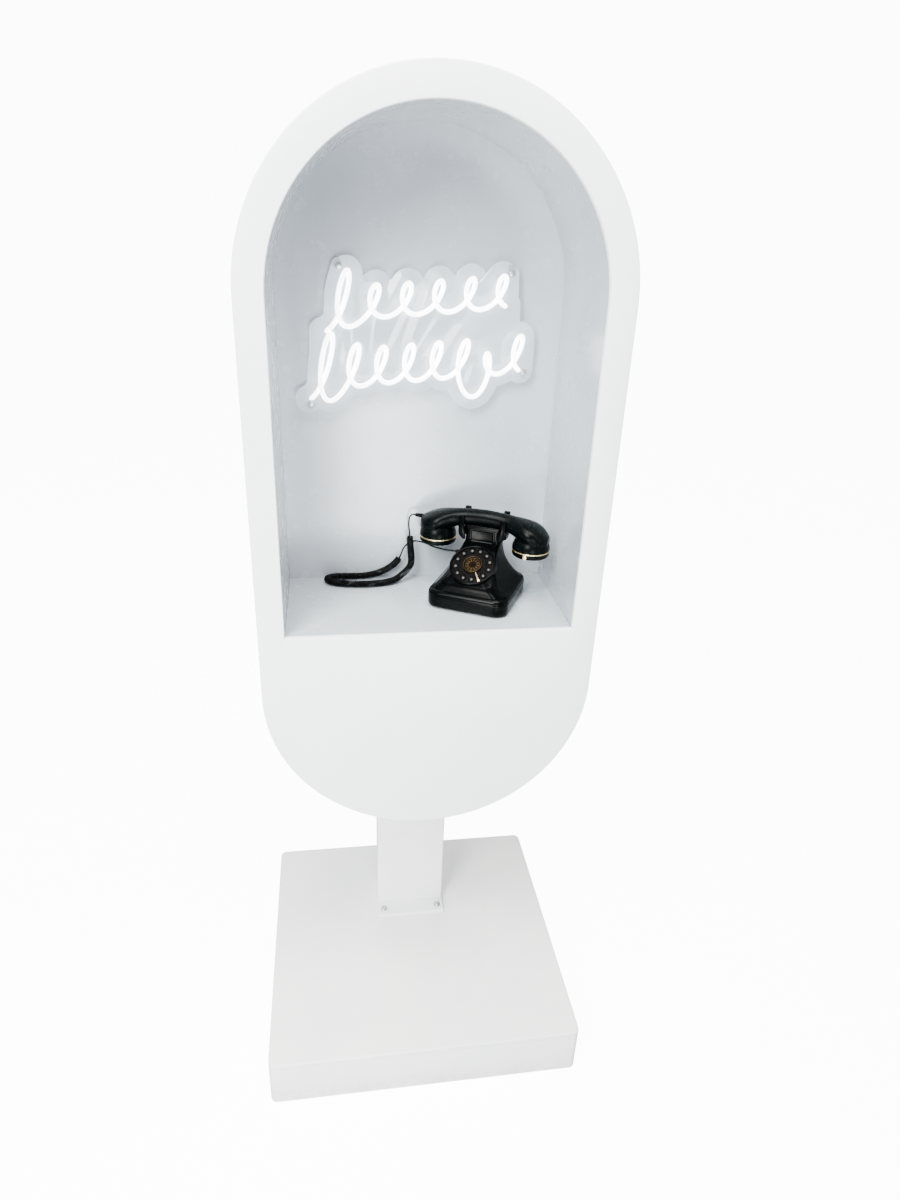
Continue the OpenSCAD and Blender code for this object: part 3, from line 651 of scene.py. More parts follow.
def makeCabinet(plan):
    front, back, wall, rear = (plan[k] for k in ("front", "panelBack", "wall", "back"))
    joint, bevel, clear = plan["joint"], plan["bevel"], plan["clear"]
    outer, inner = panelLines(plan, 0, 0)
    levels = [(back, outer)]
    levels += [(front + depth, panelLines(plan, inset, 0)[0]) for depth, inset in quarterSteps(plan["edge"])]
    levels += [(front + depth, panelLines(plan, 0, grow)[1])
               for depth, grow in quarterSteps(plan["nicheEdge"])[::-1]]
    levels.append((back, inner))
    panel = skinned("frontPanel", upright(levels), closed=True, sharp=30)
    finishPiece(panel, "cabinet", "booth", "front_panel")
    # outer band, with a hairline joint at either end
    levels = [(y, capsuleLine(plan, inset)) for y, inset in (
        (back + joint, bevel), (back + 2 * joint, 0), (wall - 2 * joint, 0), (wall - 0.2, bevel),
        (wall, plan["band"]), (back + joint, plan["band"]))]
    band = skinned("outerBand", upright(levels), closed=True, sharp=30)
    finishPiece(band, "cabinet", "booth", "outer_band")
    levels = [(y, capsuleLine(plan, inset)) for y, inset in (
        (wall, bevel), (wall + bevel, 0), (rear - 1.2, 0), (rear - 0.35, 0.35), (rear, 1.2))]
    panel = skinned("backPanel", upright(levels), sharp=30)
    finishPiece(panel, "cabinet", "booth", "back_panel")
    # the niche's back wall takes the grey painted shade of the niche lining
    panel.data.materials.append(finishes["niche"])   # its front face is the niche's back wall
    for face in panel.data.polygons:
        if face.center.y < (wall + clear) * 0.001:
            face.material_index = 1
    # the niche's bent liner, a channel section carried round the arch
    r, t, level = plan["nicheRadius"], plan["liner"], plan["nicheFloor"]
    foot, knee = level - plan["floorThick"], level + plan["linerFoot"]
    spots = [((r, foot), (1, 0)), ((r, knee), (1, 0))]
    spots += [((r * c, plan["high"] + r * s), (c, s)) for c, s in arcPairs(plan["arcSteps"], math.pi)]
    spots += [((-r, knee), (-1, 0)), ((-r, foot), (-1, 0))]
    section = ((0, back + clear), (t, back + clear), (t, wall - clear), (0, wall - clear))
    rings = [[(x + c * g, y, z + s * g) for g, y in section] for (x, z), (c, s) in spots]
    # the liner and the niche floor take the grey painted shade of the niche lining
    finishPiece(skinned("nicheLiner", rings, sharp=30), "niche", "booth", "niche_arch")
    shelf = easedBlock("nicheFloor", (2 * r - 0.4, wall - back - 0.3), 0.5, foot, level,
                       Matrix.Translation((0, (back + wall) / 2, 0)), 0.4)
    finishPiece(shelf, "niche", "booth", "niche_floor")
    dressNode("timber", "frame_battens", "shelf_battens", "post_block")
    dressNode("ply", "stiffener_plate")
    dressNode("base", "base_bottom")


makeCabinet(cabinetPlan)
print("cabinet made")

# post and base
basePlan = {
    "width": 615, "depth": 575, "height": 106, "top": 12, "corner": 14, "bottom": 6, "edge": 2.2,
    "postWidth": 152, "postDepth": 40, "postY": 108, "postTop": 925, "flangeDepth": 116, "flange": 8,
    "postCorner": 5, "cap": 3, "flangeCorner": 3,
}


def makeBase(plan):
    size, post = (plan["width"], plan["depth"]), (plan["postWidth"], plan["postDepth"])
    flange = (plan["postWidth"], plan["flangeDepth"])
    top, postTop = plan["height"], plan["postTop"]
    skirtTop, foot = top - plan["top"], top + plan["flange"]
    here, atPost = Matrix.Identity(4), Matrix.Translation((0, plan["postY"], 0))
    corner, postCorner, low = plan["corner"], plan["postCorner"], plan["bottom"] + 0.1
    for name, node, block in (
            ("baseTopBoard", "base_top", (size, corner, skirtTop, top, here, plan["edge"], 0.25)),
            ("baseSkirt", "base_skirt", (size, corner, low, skirtTop, here, 0.25, 0.6)),
            ("postTube", "post", (post, postCorner, foot, postTop, atPost, 0.3)),
            ("postCap", "post_cap", (post, postCorner, postTop, postTop + plan["cap"], atPost, 1.2, 0.2)),
            ("postFootPlate", "post_flange", (flange, plan["flangeCorner"], top, foot, atPost, 1.0, 0.2))):
        finishPiece(easedBlock(name, *block), "base", "booth", node)
    dressNode("steel", "ballast_plate")


makeBase(basePlan)
print("post and base made")

# screws and bolts
fastenerPlan = {
    "footBolts": {"x": 62, "y": 41, "radius": 7.75},
    "postBolts": {"x": 50, "z": (884, 712.2), "radius": 8},
    "backScrews": {"radius": 4.2, "reach": 258, "side": 1025, "upper": (-2, 40, 90, 140, 182),
                   "lower": (205, 240, 300, 335)},
}


def socketBolt(name, radius):
    # washer under a domed head with a hexagon socket
    rim = radius - 1.8
    profile = [(0.01, -0.2), (radius - 0.2, -0.2), (radius, 0.0), (radius, 1.2), (radius - 0.4, 1.6),
               (rim, 1.6), (rim, 3.2), (rim - 0.5, 4.1), (rim - 1.4, 4.6), (2.9, 4.6), (2.7, 4.4), (2.7, 2.4),
               (0.01, 2.2)]
    return turned(name, profile, None, 36, sharp=28)


def crossScrew(name, radius):
    # flat countersunk head with a cross slot
    head = turned(name, [(0.01, -0.4), (radius, -0.4), (radius, 0.4), (radius * 0.9, 1.0),
                         (radius * 0.6, 1.4), (0.01, 1.6)], None, 28, sharp=28)
    return cutAway(head, [easedBlock("slotCutter", (radius * 1.1, 0.9), 0.2, 0.7, 3, Matrix.Rotation(
        math.radians(turn), 4, "Z"), 0.05) for turn in (0, 90)], 28)


def makeFasteners(plan, base, cabinet):
    foot, post, screw = plan["footBolts"], plan["postBolts"], plan["backScrews"]
    backwards = (-math.pi / 2, 0, 0)
    spots = [(x * foot["x"], base["postY"] + y * foot["y"], base["height"] + base["flange"])
             for x in (-1, 1) for y in (-1, 1)]
    addHeads("footBoltHeads", spots, socketBolt("boltHead", foot["radius"]), (0, 0, 0), 4, "flange_bolts")
    spots = [(x * post["x"], base["postY"] + base["postDepth"] / 2, z) for x in (-1, 1) for z in post["z"]]
    addHeads("postBoltHeads", spots, socketBolt("boltHead", post["radius"]), backwards, 9, "post_bolts")
    reach, y = screw["reach"], cabinet["back"]
    spots = [(reach * math.cos(math.radians(a)), y, z + reach * math.sin(math.radians(a)))
             for z, angles in ((cabinet["high"], screw["upper"]), (cabinet["low"], screw["lower"]))
             for a in angles] + [(s * reach, y, screw["side"]) for s in (-1, 1)]
    addHeads("backScrewHeads", spots, crossScrew("screwHead", screw["radius"]), backwards, 12,
             "cabinet_screws")


makeFasteners(fastenerPlan, basePlan, cabinetPlan)
print("fasteners set")

# neon sign, two looping rows that stand for handwriting
signPlan = {
    "middle": 1400, "rise": 0.095, "slant": 0.22, "cross": 5.3, "tubeY": 56.5, "tube": 8, "sides": 14,
    "perLoop": 56, "endPart": 20, "margin": 22, "pad": 12, "boardY": 66, "boardThick": 5, "boardEdge": 0.35,
    "rowSteps": 200, "boardSteps": 260,
    "holders": ((-136, 98), (144, 94), (-186, -118), (174, -62)),
    "rows": {
        "sign_tube_upper": {"start": -160, "span": 310, "mid": 54, "loops": 6, "swing": 18, "height": 24,
                            "tall": 26, "drop": 0},
        "sign_tube_lower": {"start": -186, "span": 366, "mid": -46, "loops": 8, "swing": 17, "height": 29,
                            "tall": 28, "drop": 48},
    },
}


def rowPoint(plan, row, t):
    # a loop's stroke that leans and drifts to the right, taller near the start and deeper near the end
    turn = 2 * math.pi * row["loops"] * t
    tall = row["tall"] * math.exp(-((t - 0.07) / 0.1) ** 2)
    drop = row["drop"] * math.exp(-((t - 0.78) / 0.045) ** 2)
    height = -(row["height"] + tall) * math.cos(turn) - drop
    x = row["start"] + row["span"] * t + row["swing"] * math.sin(turn) + plan["slant"] * height
    return Vector((x, plan["tubeY"] + plan["cross"] * math.sin(turn),
                   plan["middle"] + row["mid"] + plan["rise"] * x + height))


def boardShape(plan):
    # one plate that follows both rows and the stand-offs at a set distance, its edges eased
    discs = [(x, plan["middle"] + z, plan["pad"]) for x, z in plan["holders"]]
    count, n = plan["rowSteps"], plan["boardSteps"]
    for row in plan["rows"].values():
        line = [rowPoint(plan, row, i / count) for i in range(1, count)]
        discs += [(p.x, p.z, plan["margin"]) for p in line]
    left, right = min(x - r for x, z, r in discs), max(x + r for x, z, r in discs)
    upper, lower = [], []
    for k in range(1, n):
        place = (left + right) / 2 - (right - left) / 2 * math.cos(math.pi * k / n)
        near = [(z, math.sqrt(r * r - (place - x) ** 2)) for x, z, r in discs if abs(place - x) < r]
        upper.append((place, max(z + h for z, h in near)))
        lower.append((place, min(z - h for z, h in near)))
    y, rear, edge = plan["boardY"], plan["boardY"] + plan["boardThick"], plan["boardEdge"]
    return skinned("signBoard", upright([(depth, shrunk(upper + lower[::-1], inset)) for depth, inset in (
        (y, edge), (y + edge, 0.0), (rear - edge, 0.0), (rear, edge))]), sharp=50)


def addHolders(plan):
    # a stand-off's cap in front of the board and its stem through it
    profile = [(0.01, -2.4), (3.8, -2.4), (4.6, -2.1), (5.0, -1.5), (5.0, 0), (2.5, 0.02), (2.5, 5.0),
               (6.0, 5.0), (6.0, 16.6), (5.6, 17.0), (0.01, 17.0)]
    spots = [(x, plan["boardY"], plan["middle"] + z) for x, z in plan["holders"]]
    addHeads("signStandoffs", spots, turned("standoff", profile, None, 32, sharp=28), (-math.pi / 2, 0, 0), 3,
             "sign_standoffs")


def makeSign(plan):
    addHolders(plan)
    r = plan["tube"] / 2
    for node, row in plan["rows"].items():
        edge = 1 / (plan["endPart"] * row["loops"])
        count = plan["perLoop"] * row["loops"]
        path = [rowPoint(plan, row, edge + (1 - 2 * edge) * i / count) for i in range(count + 1)]
        run = [0.0]
        for a, b in zip(path, path[1:]):
            run.append(run[-1] + (b - a).length)
        ends = [min(s, run[-1] - s, r) / r for s in run]
        girth = [math.sqrt(max(0.06, 1 - (1 - end) ** 2)) for end in ends]   # rounded ends
        name = "neonUpperRow" if row["mid"] > 0 else "neonLowerRow"
        tube = growPiece(name, path, tubeTree, {"Radius": r * 0.001, "Sides": plan["sides"]}, "neon",
                         joined=True, girth=girth)
        finishPiece(tube, "neon", "booth", node)
    board = finishPiece(boardShape(plan), "acrylic", "booth", "sign_board")
    print("board made:", len(board.data.polygons), "faces")
    dressNode("grey", "sign_driver")
    dressNode("satin", "power_inlet")


makeSign(signPlan)
print("sign made")

# telephone, in its own frame: x across, y back, z up from the niche floor
phonePlan = {
    "place": (98, -19, 955), "turn": -27,
    "width": 146, "depth": 153, "plinthTop": 34, "tier": 6,
    "plinthInset": [(3, 1.9), (4, 0.7), (6, 0), (22.5, 0), (23.2, 0.9), (24.4, 1.0), (25.2, 0.3), (27.4, 0.5),
                    (29.4, 1.4), (31.4, 3.0), (33, 5.2), (34, 8)],
    "neckTop": 122, "neckHalf": 31, "neckDepth": 30, "flare": 2.6,
    "front": [(34, 6.5), (44, 6), (53, 7.5), (60, 16.5), (94, 68.5), (96, 82.5), (97, 90.5), (122, 90.5)],
    "corner": [(34, 24), (60, 18), (97, 8), (122, 6)],
    "plinthCorner": 24,
    "dialY": -36, "dialZ": 76, "dialTilt": 34, "dialRadius": 37, "housing": 41,
    "keys": 12, "keyFirst": -37.5, "keyStep": 29, "keyReach": 30, "petals": 12, "petalReach": 9.3,
    "stopTurn": -58,
    "neckFront": 14, "handsetY": 26, "hookX": 18, "hookHole": 3.3, "prongX": 37, "prongGap": 17,
    "plate": (64, 30), "plateTop": 125, "lipsY": {"Front": 15.7, "Rear": 38.6}, "panel": (46, 26),
    "panelZ": 111.2,
}
phonePlace = (Matrix.Translation(phonePlan["place"])
              @ Matrix.Rotation(math.radians(phonePlan["turn"]), 4, "Z"))
dialPlace = (phonePlace @ Matrix.Translation((0, phonePlan["dialY"], phonePlan["dialZ"]))
             @ Matrix.Rotation(math.radians(phonePlan["dialTilt"]), 4, "X"))


def lookUp(value, table):
    if value <= table[0][0]:
        return table[0][1]
    for (a, va), (b, vb) in zip(table, table[1:]):
        if value <= b:
            return va + (vb - va) * (value - a) / (b - a)
    return table[-1][1]


def softLook(value, table, spread):
    # the mean over a span, which rounds the table's corners
    return sum(lookUp(value + spread * k / 4, table) for k in range(-4, 5)) / 9


def casingRing(plan, z):
    # the casing's outline at z, first the plinth and then the neck that flares down to it
    depth, width = plan["depth"], plan["width"]
    if z <= plan["plinthTop"]:
        inset = lookUp(z, plan["plinthInset"])
        half, front, back = width / 2 - inset, -depth / 2 + inset, depth / 2 - inset
        corner = plan["plinthCorner"] - inset * 0.5
    else:
        rise = ((plan["neckTop"] - z) / (plan["neckTop"] - plan["plinthTop"])) ** plan["flare"]
        half = plan["neckHalf"] + (width / 2 - plan["tier"] - plan["neckHalf"]) * rise
        spread = min(3.0, z - plan["plinthTop"], plan["neckTop"] - z)
        front = -depth / 2 + softLook(z, plan["front"], spread)
        waist = plan["neckFront"] + plan["neckDepth"]
        back = waist + (depth / 2 - plan["tier"] - waist) * rise
        corner = softLook(z, plan["corner"], spread)
    corner = min(corner, (back - front) / 2 - 0.5, half - 0.5)
    return [(x, y, z) for x, y in corneredOutline(half, front, back, corner, 12)]


def atPhone(x, y, z):
    return phonePlace @ Matrix.Translation((x, y, z))


def hookDrills(plan, low, high):
    # where the hook plungers pass
    return [drillShape("hookHole", plan["hookHole"], low, high, atPhone(x, plan["handsetY"], 0), 24)
            for x in (-plan["hookX"], plan["hookX"])]


def makeCasing(plan):
    fine = [3, 3.4, 4, 5, 6, 12, 18, 22, 22.5, 22.85, 23.2, 23.8, 24.4, 24.8, 25.2, 26.3, 27.4, 28.4, 29.4,
            30.4, 31.4, 32.2, 33, 33.6, 34, 34.01, 35.2]
    levels = fine + [36.5 + 1.5 * i for i in range(57)] + [121.4, 122]
    casing = skinned("phoneCasing", [casingRing(plan, z) for z in levels], phonePlace, sharp=35)
    opening = turned("dialOpening", [(0.01, -14), (36, -14), (36, -2.5), (53, -2.5), (53, 45), (0.01, 45)],
                     dialPlace, 96)
    finishPiece(cutAway(casing, [opening] + hookDrills(plan, 108, 140), 35), "gloss", "booth", "phone_body")
    # raised ring that carries the dial, and its rolled rim
    r, s = plan["dialRadius"], plan["housing"]
    skirt = [(s, -2.6), (s, -15.5), (36.6, -15.5), (36.6, -2.9), (s - 0.6, -2.7)]
    finishPiece(turned("dialHousing", skirt, dialPlace, 96, loop=True), "gloss", "booth")
    rim = [((r + s) / 2 + 1.95 * c, 0.7 + 1.7 * v) for c, v in arcPairs(10, math.pi)]
    rim += [(r + 0.1, -2.5), (r + 0.1, -3.2), (s - 0.2, -3.2)]
    finishPiece(turned("dialRim", rim, dialPlace, 96, loop=True), "gloss", "booth", "dial_bezel")


def keyAngles(plan):
    return [math.radians(plan["keyFirst"] + plan["keyStep"] * i) for i in range(plan["keys"])]


def makeDial(plan):
    # plate with twelve key wells, a shallow groove and a stepped middle
    profile = [(0.01, -2.5), (36.6, -2.5), (36.9, -2.2), (36.9, -0.5), (36.4, -0.1), (35.6, 0), (24.4, 0),
               (24.0, -0.5), (23.2, -0.5), (22.8, 0), (19.2, 0), (18.8, 0.0), (0.01, 0.0)]
    plate = turned("dialPlate", profile, dialPlace, 120, sharp=25)
    well = [(0.01, -4), (4.9, -4), (4.9, -0.8), (5.4, -0.1), (5.9, 0.3), (5.9, 3), (0.01, 3)]
    spots = [(plan["keyReach"] * math.cos(a), plan["keyReach"] * math.sin(a), 0) for a in keyAngles(plan)]
    wells = [turned("keyWell", well, dialPlace @ Matrix.Translation(spot), 32) for spot in spots]
    finishPiece(cutAway(plate, wells, 28), "dial", "booth", "dial_face")
    # turned badge: rings round a plain rosette
    profile = [(0.01, 0.05), (16.9, 0.05), (17, 0.4), (17, 2.2), (16.6, 3.0), (15.8, 3.5), (15.0, 3.1),
               (14.6, 2.3), (13.9, 2.1), (13.3, 2.5), (12.8, 2.1), (12.2, 2.0), (6.4, 2.0), (6.0, 2.4),
               (5.5, 2.5), (5.0, 2.0), (3.6, 2.1), (3.0, 3.2), (1.6, 3.9), (0.01, 4.0)]
    finishPiece(turned("dialBadge", profile, dialPlace, 96, sharp=50), "badge", "booth", "dial_badge")
    petal = newPetal("rosettePetal", 2.9, 1.25, 0.9)
    count, reach = plan["petals"], plan["petalReach"]
    spots = [(reach * c, reach * s, 2.0) for c, s in circlePairs(count)]
    rosette = growPiece("badgeRosette", spots, petalTree, {"Piece": petal, "Count": count}, "relief")
    bpy.data.objects.remove(petal)
    rosette.data.transform(Matrix.Scale(0.001, 4) @ dialPlace @ Matrix.Scale(1000, 4))
    finishPiece(rosette, "relief", "booth")
    for label, middle, height, thick in (("Outer", 15.8, 3.1, 0.55), ("Inner", 12.6, 2.2, 0.42)):
        hoop = [(middle + thick * c, height + thick * s) for c, s in circlePairs(12)]
        finishPiece(turned("badgeHoop" + label, hoop, dialPlace, 96, loop=True, sharp=60), "relief", "booth")
    # finger stop: a flattened strip on a foot, its tip rounded
    lean = dialPlace @ Matrix.Rotation(math.radians(plan["stopTurn"]), 4, "Z")
    rings = []
    for x, half, low, high in ((19.3, 0.5, 3.3, 4.3), (19.8, 1.0, 3.1, 4.5), (21, 1.2, 3.0, 4.6),
                               (26, 1.1, 3.0, 4.6), (31, 1.3, 3.0, 4.7), (34, 1.7, 2.9, 4.7),
                               (36.4, 1.9, 2.8, 4.5), (37.6, 1.6, 2.7, 4.2), (38.0, 1.1, 2.8, 3.9)):
        rings.append([(x, half * squarer(c, 0.7), (low + high) / 2 + (high - low) / 2 * squarer(s, 0.7))
                      for c, s in circlePairs(16)])
    strip = skinned("fingerStop", rings, lean, sharp=50)
    profile = [(0.01, 0.05), (2.6, 0.05), (2.5, 0.5), (1.6, 0.9), (1.6, 3.2), (0.01, 3.4)]
    stem = turned("fingerStopFoot", profile, lean @ Matrix.Translation((35.2, 0, 0)), 24)
    finishPiece(strip, "brass", "booth", "finger_stop")
    finishPiece(stem, "brass", "booth")


def newPetal(name, length, half, rise):
    # a low leaf, wider towards its inner end
    rings = []
    for i in range(9):
        t = -1 + 2 * i / 8
        w = half * math.sqrt(max(0.02, 1 - t * t)) * (1 - 0.25 * t)
        h = rise * math.sqrt(max(0.02, 1 - t * t))
        rings.append([(t * length, w * c, max(0.0, h * s) - 0.05) for c, s in circlePairs(12)])
    return skinned(name, rings, None, sharp=60)


def makeKeys(plan):
    # each key: a dark stem with a raised rim round a silvered domed cap, free in its well
    stem = [(0.01, -6.7), (1.8, -6.7), (1.8, -4.4), (4.3, -4.4), (4.3, 0.4), (4.2, 0.8), (3.9, 1.05),
            (3.5, 1.1), (3.25, 0.9), (3.1, 0.5), (0.01, 0.5)]
    cap = [(0.01, 0.45), (2.8, 0.45), (2.8, 1.2), (2.6, 1.55), (2.1, 1.85), (1.2, 2.1), (0.01, 2.2)]
    for i, angle in enumerate(keyAngles(plan)):
        spot = dialPlace @ Matrix.Rotation(angle, 4, "Z") @ Matrix.Translation((plan["keyReach"], 0, 0))
        body = "key_" + str(i + 1)
        finishPiece(turned(body + "_stem", stem, spot, 32, sharp=35), "satin", body, body)
        finishPiece(turned(body + "_cap", cap, spot, 32, sharp=35), "key", body)


def makeCradle(plan):
    y, top = plan["handsetY"], plan["plateTop"]
    atNeck = atPhone(0, plan["neckFront"] + plan["neckDepth"] / 2, 0)
    plate = easedBlock("cradlePlate", plan["plate"], 5, plan["neckTop"] + 0.05, top, atNeck, 0.8, 0.2)
    finishPiece(cutAway(plate, hookDrills(plan, top - 5, top + 2), 35), "gloss", "booth", "cradle")
    for s, label in ((-1, "Left"), (1, "Right")):
        side = atPhone(s * plan["prongX"], y, 0)
        finishPiece(saddleShape("cradleSaddle" + label, side, plan["prongGap"]), "gloss", "booth")
        atRear = side @ Matrix.Translation((-s * 1.2, plan["prongGap"], 0))
        rear = easedBlock("prongRear" + label, (11, 5), 1.9, 114, 155, atRear, 1.4, 0.5)
        finishPiece(rear, "gloss", "booth")
        finishPiece(earShape("cradleEar" + label, s, phonePlace), "gloss", "booth")
    for label, lipY in plan["lipsY"].items():
        finishPiece(easedBlock("cradleLip" + label, (60, 3), 1.4, 123, 129.4, atPhone(0, lipY, 0), 1.2),
                    "gloss", "booth")
    # recessed panel on the neck, in a raised frame
    panel = atPhone(0, plan["neckFront"], 0) @ Matrix.Rotation(math.radians(90), 4, "X")
    width, height = plan["panel"]
    rings = []
    for inset, lift in ((0, -0.3), (0, 1.1), (0.3, 1.45), (0.8, 1.6), (2.6, 1.6), (3.1, 1.4), (3.6, 0.7),
                        (4.4, 0.5)):
        rings.append([(x, z + plan["panelZ"], lift) for x, z in roundedOutline(width, height, 2.5, inset)])
    finishPiece(skinned("neckPanel", rings, panel, sharp=40), "gloss", "booth", "neck_panel")


def earShape(name, s, place):
    # a broad front prong whose lower outer corner sweeps round into the neck
    outline = [(30, 104.5), (30, 121.5), (32.4, 124), (32.8, 145.6), (33.6, 147.3), (35.2, 148), (39.6, 148),
               (41.4, 147.2), (42.2, 145.4), (42.4, 120)]
    outline += [(30 + 12.4 * c, 120 - 15.5 * v) for c, v in arcPairs(12, math.pi / 2)[1:-1]]
    rings = [[(s * x, y, z) for x, z in shrunk(outline, inset)] for y, inset in (
        (11.5, 1.0), (11.2, 0.4), (10.4, 0.0), (7.6, 0.0), (6.8, 0.4), (6.5, 1.0))]
    return skinned(name, rings, place, sharp=50)


def saddleShape(name, place, gap):
    # a curved saddle: a rounded bar along y whose underside hangs in the middle
    rings = []
    for i in range(25):
        t = -1 + 2 * i / 24
        end = math.sqrt(max(0.02, 1 - abs(t) ** 6))
        low, high = 108 + 9 * abs(t) ** 2.5, 122.4 - 1.2 * (1 - t * t)
        mid, tall = (low + high) / 2, (high - low) / 2 * end
        rings.append([(6.6 * end * squarer(c, 0.6), t * (gap + 2.8), mid + tall * squarer(s, 0.6))
                      for c, s in circlePairs(24)])
    return skinned(name, rings, place, sharp=50)


makeCasing(phonePlan)
makeDial(phonePlan)
makeKeys(phonePlan)
makeCradle(phonePlan)
dressNode("satin", "phone_base_plate", "hook_plunger", "cord_socket", "hook_switch")
dressNode("rubber", "phone_feet")
dressNode("board", "keypad_board", "recorder_board")
dressNode("grey", "battery_pack")
print("telephone made")

# handset
handsetPlan = {
    "cupX": 86.5, "cup": 33.5, "ringZ": 99, "archZ": 157, "drop": 0.00154, "halfHeight": 14,
    "halfWidth": 12.5, "endX": 117, "endDrop": 13, "cordEndDrop": 4, "domeTop": 27,
    "y": phonePlan["handsetY"], "boot": (-113, 129.5), "tabTurn": 175, "voxel": 1.15, "soften": 10,
}


def archRing(plan, x):
    # the handset's section at x, slim in the middle and as wide as the cup at either end
    cup, out = plan["cup"], max(0.0, abs(x) - plan["cupX"])
    side = min(1.0, abs(x) / plan["cupX"])
    blend = side * side * (3 - 2 * side)
    if out > 0:
        half = math.sqrt(max(0.0, cup * cup - out * out)) - 1
    else:
        half = plan["halfWidth"] + (cup - 1 - plan["halfWidth"]) * blend ** 3
    rounding = plan["endDrop"] if x > 0 else plan["cordEndDrop"]
    top = plan["archZ"] - plan["drop"] * x * x - rounding * (out / (plan["endX"] - plan["cupX"])) ** 2
    inner = min(abs(x), plan["cupX"])
    under = plan["archZ"] - plan["drop"] * inner ** 2 - 2 * plan["halfHeight"]
    last = plan["archZ"] - plan["drop"] * plan["cupX"] ** 2 - 2 * plan["halfHeight"]
    bottom = under - (last - plan["ringZ"] - 8) * blend ** 2
    return [(x, plan["y"] + half * squarer(c, 0.8), (top + bottom) / 2 + (top - bottom) / 2 * s)
            for c, s in circlePairs(40)]


def joinPieces(name, pieces):
    # one object from several, ready to be fused
    work = bmesh.new()
    for piece in pieces:
        work.from_mesh(piece.data)
        bpy.data.objects.remove(piece)
    mesh = bpy.data.meshes.new(name)
    work.to_mesh(mesh)
    work.free()
    joined = bpy.data.objects.new(name, mesh)
    scene.collection.objects.link(joined)
    return joined


def makeHandset(plan):
    cup, y, ringZ = plan["cup"], plan["y"], plan["ringZ"]
    stations = [-plan["endX"]] + [-114 + 3 * i for i in range(77)] + [plan["endX"]]
    dome = [(cup * c, cup * s) for c, s in arcPairs(24, math.pi / 2)[:-1]] + [(0.01, cup)]
    dome = [(0.01, 0)] + [(r, min(z, plan["domeTop"])) for r, z in dome]
    parts = [skinned("archPart", [archRing(plan, x) for x in stations], phonePlace)]
    parts += [turned("domePart", dome, atPhone(s * plan["cupX"], y, ringZ), 72) for s in (-1, 1)]
    shell = joinPieces("handsetShell", parts)
    remesh = shell.modifiers.new("fuse", "REMESH")
    remesh.mode = "VOXEL"
    remesh.voxel_size = plan["voxel"] * 0.001
    smooth = shell.modifiers.new("soften", "SMOOTH")
    smooth.factor = 0.5
    smooth.iterations = plan["soften"]
    finishPiece(tidySurface(plainMesh(shell), 80), "handset", "handset", "handset_shell")
    profile = [(0.01, -11.2), (8, -11.25), (18, -11.7), (26, -12), (28.6, -12), (30.2, -11.5), (31.8, -10.4),
               (32.7, -9.0), (33.0, -7.5), (33.0, -2.0), (0.01, -2.0)]
    band = [(33.0, -1.8), (33.6, -1.7), (33.8, -1.3), (33.85, -0.9), (33.8, -0.5), (33.5, -0.1), (32.6, -0.0),
            (30.6, -0.0), (30.6, -1.8)]
    for s, label, node, count in ((1, "receiverCap", "receiver_cap", 6),
                                  (-1, "transmitterCap", "transmitter_cap", 8)):
        place = atPhone(s * plan["cupX"], y, ringZ)
        cap = turned(label, profile, place, 96, sharp=40)
        spots = [place @ Matrix.Rotation(2 * math.pi * i / count, 4, "Z") @ Matrix.Translation((10, 0, 0))
                 for i in range(count)]
        drills = [drillShape("soundHole", 1.4, -14, -8, spot, 16) for spot in spots]
        finishPiece(cutAway(cap, drills, 40), "handset", "handset", node)
        ring = turned("goldBandRight" if s > 0 else "goldBandLeft", band, place, 96, loop=True, sharp=50)
        finishPiece(ring, "brass", "handset", *(["cup_rings"] if s > 0 else []))
        if s > 0:   # bright joint tab across the cap's side
            atTab = (place @ Matrix.Rotation(math.radians(plan["tabTurn"]), 4, "Z")
                     @ Matrix.Translation((0, 32.9, 0)))
            finishPiece(easedBlock("capTab", (5.5, 1.2), 0.5, -10.2, -1.9, atTab, 0.3), "brass", "handset")
    # strain relief: a tapered boot with ribs
    bootX, bootZ = plan["boot"]
    profile = [(0.01, -3), (4.3, -3), (4.3, 4.6), (3.9, 5.2)]
    for i in range(5):
        x, r = 5.4 + i * 2.4, 3.9 - 0.12 * i
        profile += [(r, x), (r, x + 1.3), (r - 0.5, x + 1.6), (r - 0.5, x + 2.2)]
    profile += [(3.2, 17.4), (2.6, 18.4), (1.7, 18.7), (0.01, 18.7)]
    atBoot = atPhone(bootX, y, bootZ) @ Matrix.Rotation(math.radians(-90), 4, "Y")
    boot = turned("cordBoot", profile, atBoot, 28, sharp=40)
    finishPiece(boot, "satin", "handset", "cord_relief")
    dressNode("capsule", "receiver_capsule", "microphone_capsule")


makeHandset(handsetPlan)
print("handset made")

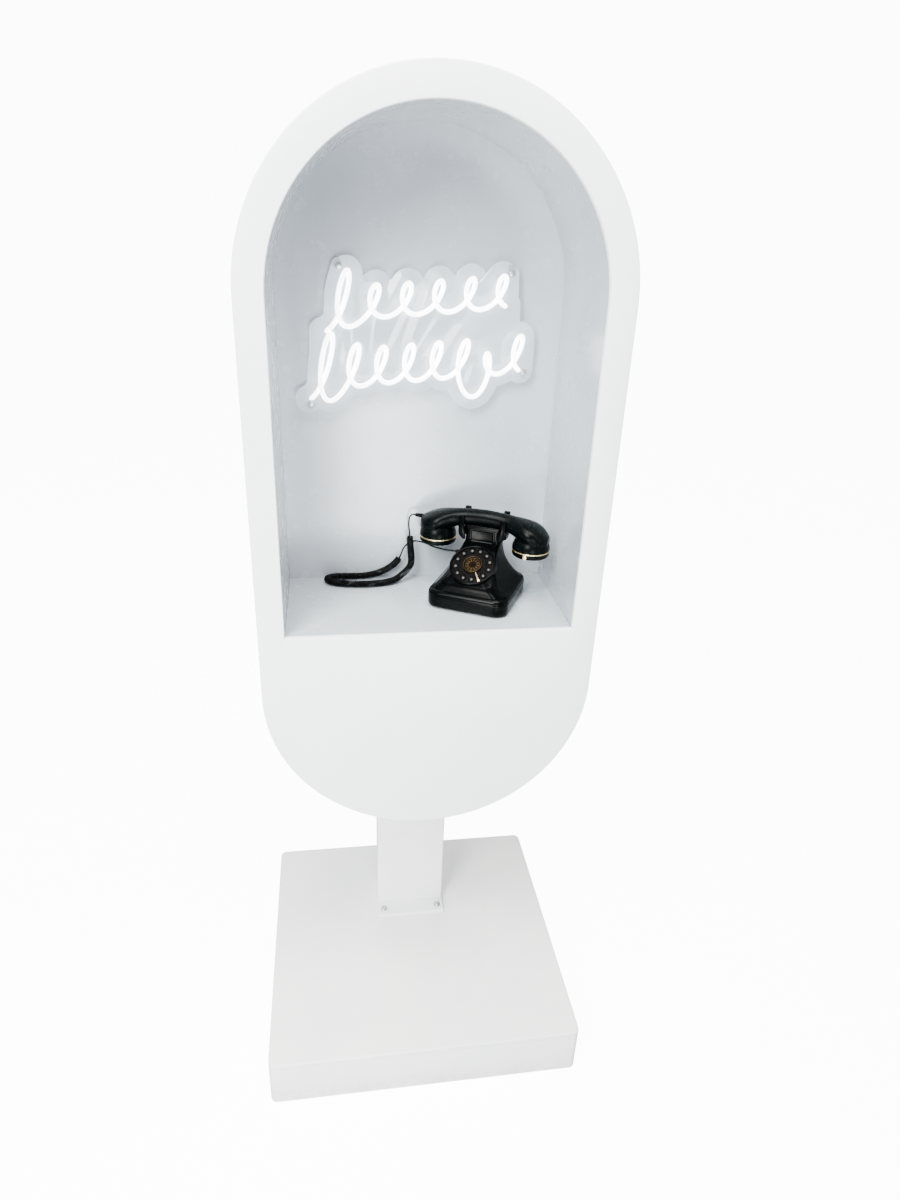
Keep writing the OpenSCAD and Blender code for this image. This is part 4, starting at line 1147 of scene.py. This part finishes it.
# floor, light and surround
studioPlan = {
    "floorSize": 60000,
    "lamps": [
        # name, place, aim, width, height, watts, tint
        ("windowLeft", (-1200, -1750, 2600), (0, 0, 1100), 900, 1600, 215, "#f4fbf8"),
        ("overhead", (100, -900, 3300), (0, -100, 400), 1500, 1200, 185, "#fffdf8"),
        ("lowStrip", (95, -2500, 620), (0, 83, 1000), 420, 1400, 58, "#f2f8ff"),
        ("postGlow", (-900, -1500, 400), (0, 60, 350), 500, 400, 26, "#fffdf8"),
        ("fillRight", (2600, -1400, 1500), (0, 0, 900), 1600, 2000, 8, "#fffaf2"),
        ("behind", (-400, 2600, 2300), (0, 0, 900), 2400, 1800, 120, "#ffffff"),
    ],
    "surroundLight": 0.24,
    "surroundSeen": 12.0,
    "floorSeen": 12.0,
}


def cameraRay(tree, unseen, seen):
    # one strength for lighting and a brighter one where the bare backdrop itself is looked at
    path = addNode(tree, "ShaderNodeLightPath")
    return addNode(tree, "ShaderNodeMath", {"operation": "MULTIPLY_ADD", 1: seen - unseen, 2: unseen},
                   {0: path.outputs["Is Camera Ray"]}).outputs["Value"]


def makeStudio(plan):
    size = plan["floorSize"]
    rings = [[(x, y, z) for x, y in roundedOutline(size, size, 400, 0, 4)] for z in (-30, -0.3)]
    floor = skinned("studioFloor", rings)
    material, tree, shader = newMaterial("paleStudioFloor", {"Roughness": 0.7, "Specular IOR Level": 0.1,
                                                            "Emission Color": sheetColour("#ffffff")})
    tree.links.new(mixTints(tree, addGrain(tree, 90, 3.0), "#bdbdbd", "#b7b7b7"), shader.inputs["Base Color"])
    tree.links.new(cameraRay(tree, 0.0, plan["floorSeen"]), shader.inputs["Emission Strength"])
    floor.data.materials.append(material)
    for name, place, aim, width, height, watts, tint in plan["lamps"]:
        lamp = bpy.data.lights.new(name, "AREA")
        lamp.shape = "RECTANGLE"
        lamp.size, lamp.size_y = width * 0.001, height * 0.001
        lamp.energy = watts
        lamp.color = sheetColour(tint)[:3]
        holder = bpy.data.objects.new(name, lamp)
        way = Vector(aim) - Vector(place)
        holder.matrix_world = (Matrix.Translation(Vector(place) * 0.001)
                               @ way.to_track_quat("-Z", "Y").to_matrix().to_4x4())
        scene.collection.objects.link(holder)
    world = bpy.data.worlds.new("paleSurround")
    world.use_nodes = True
    sky = world.node_tree.nodes["Background"]
    sky.inputs["Color"].default_value = sheetColour("#ffffff")
    world.node_tree.links.new(cameraRay(world.node_tree, plan["surroundLight"], plan["surroundSeen"]),
                              sky.inputs["Strength"])
    scene.world = world


makeStudio(studioPlan)
print("studio lit")
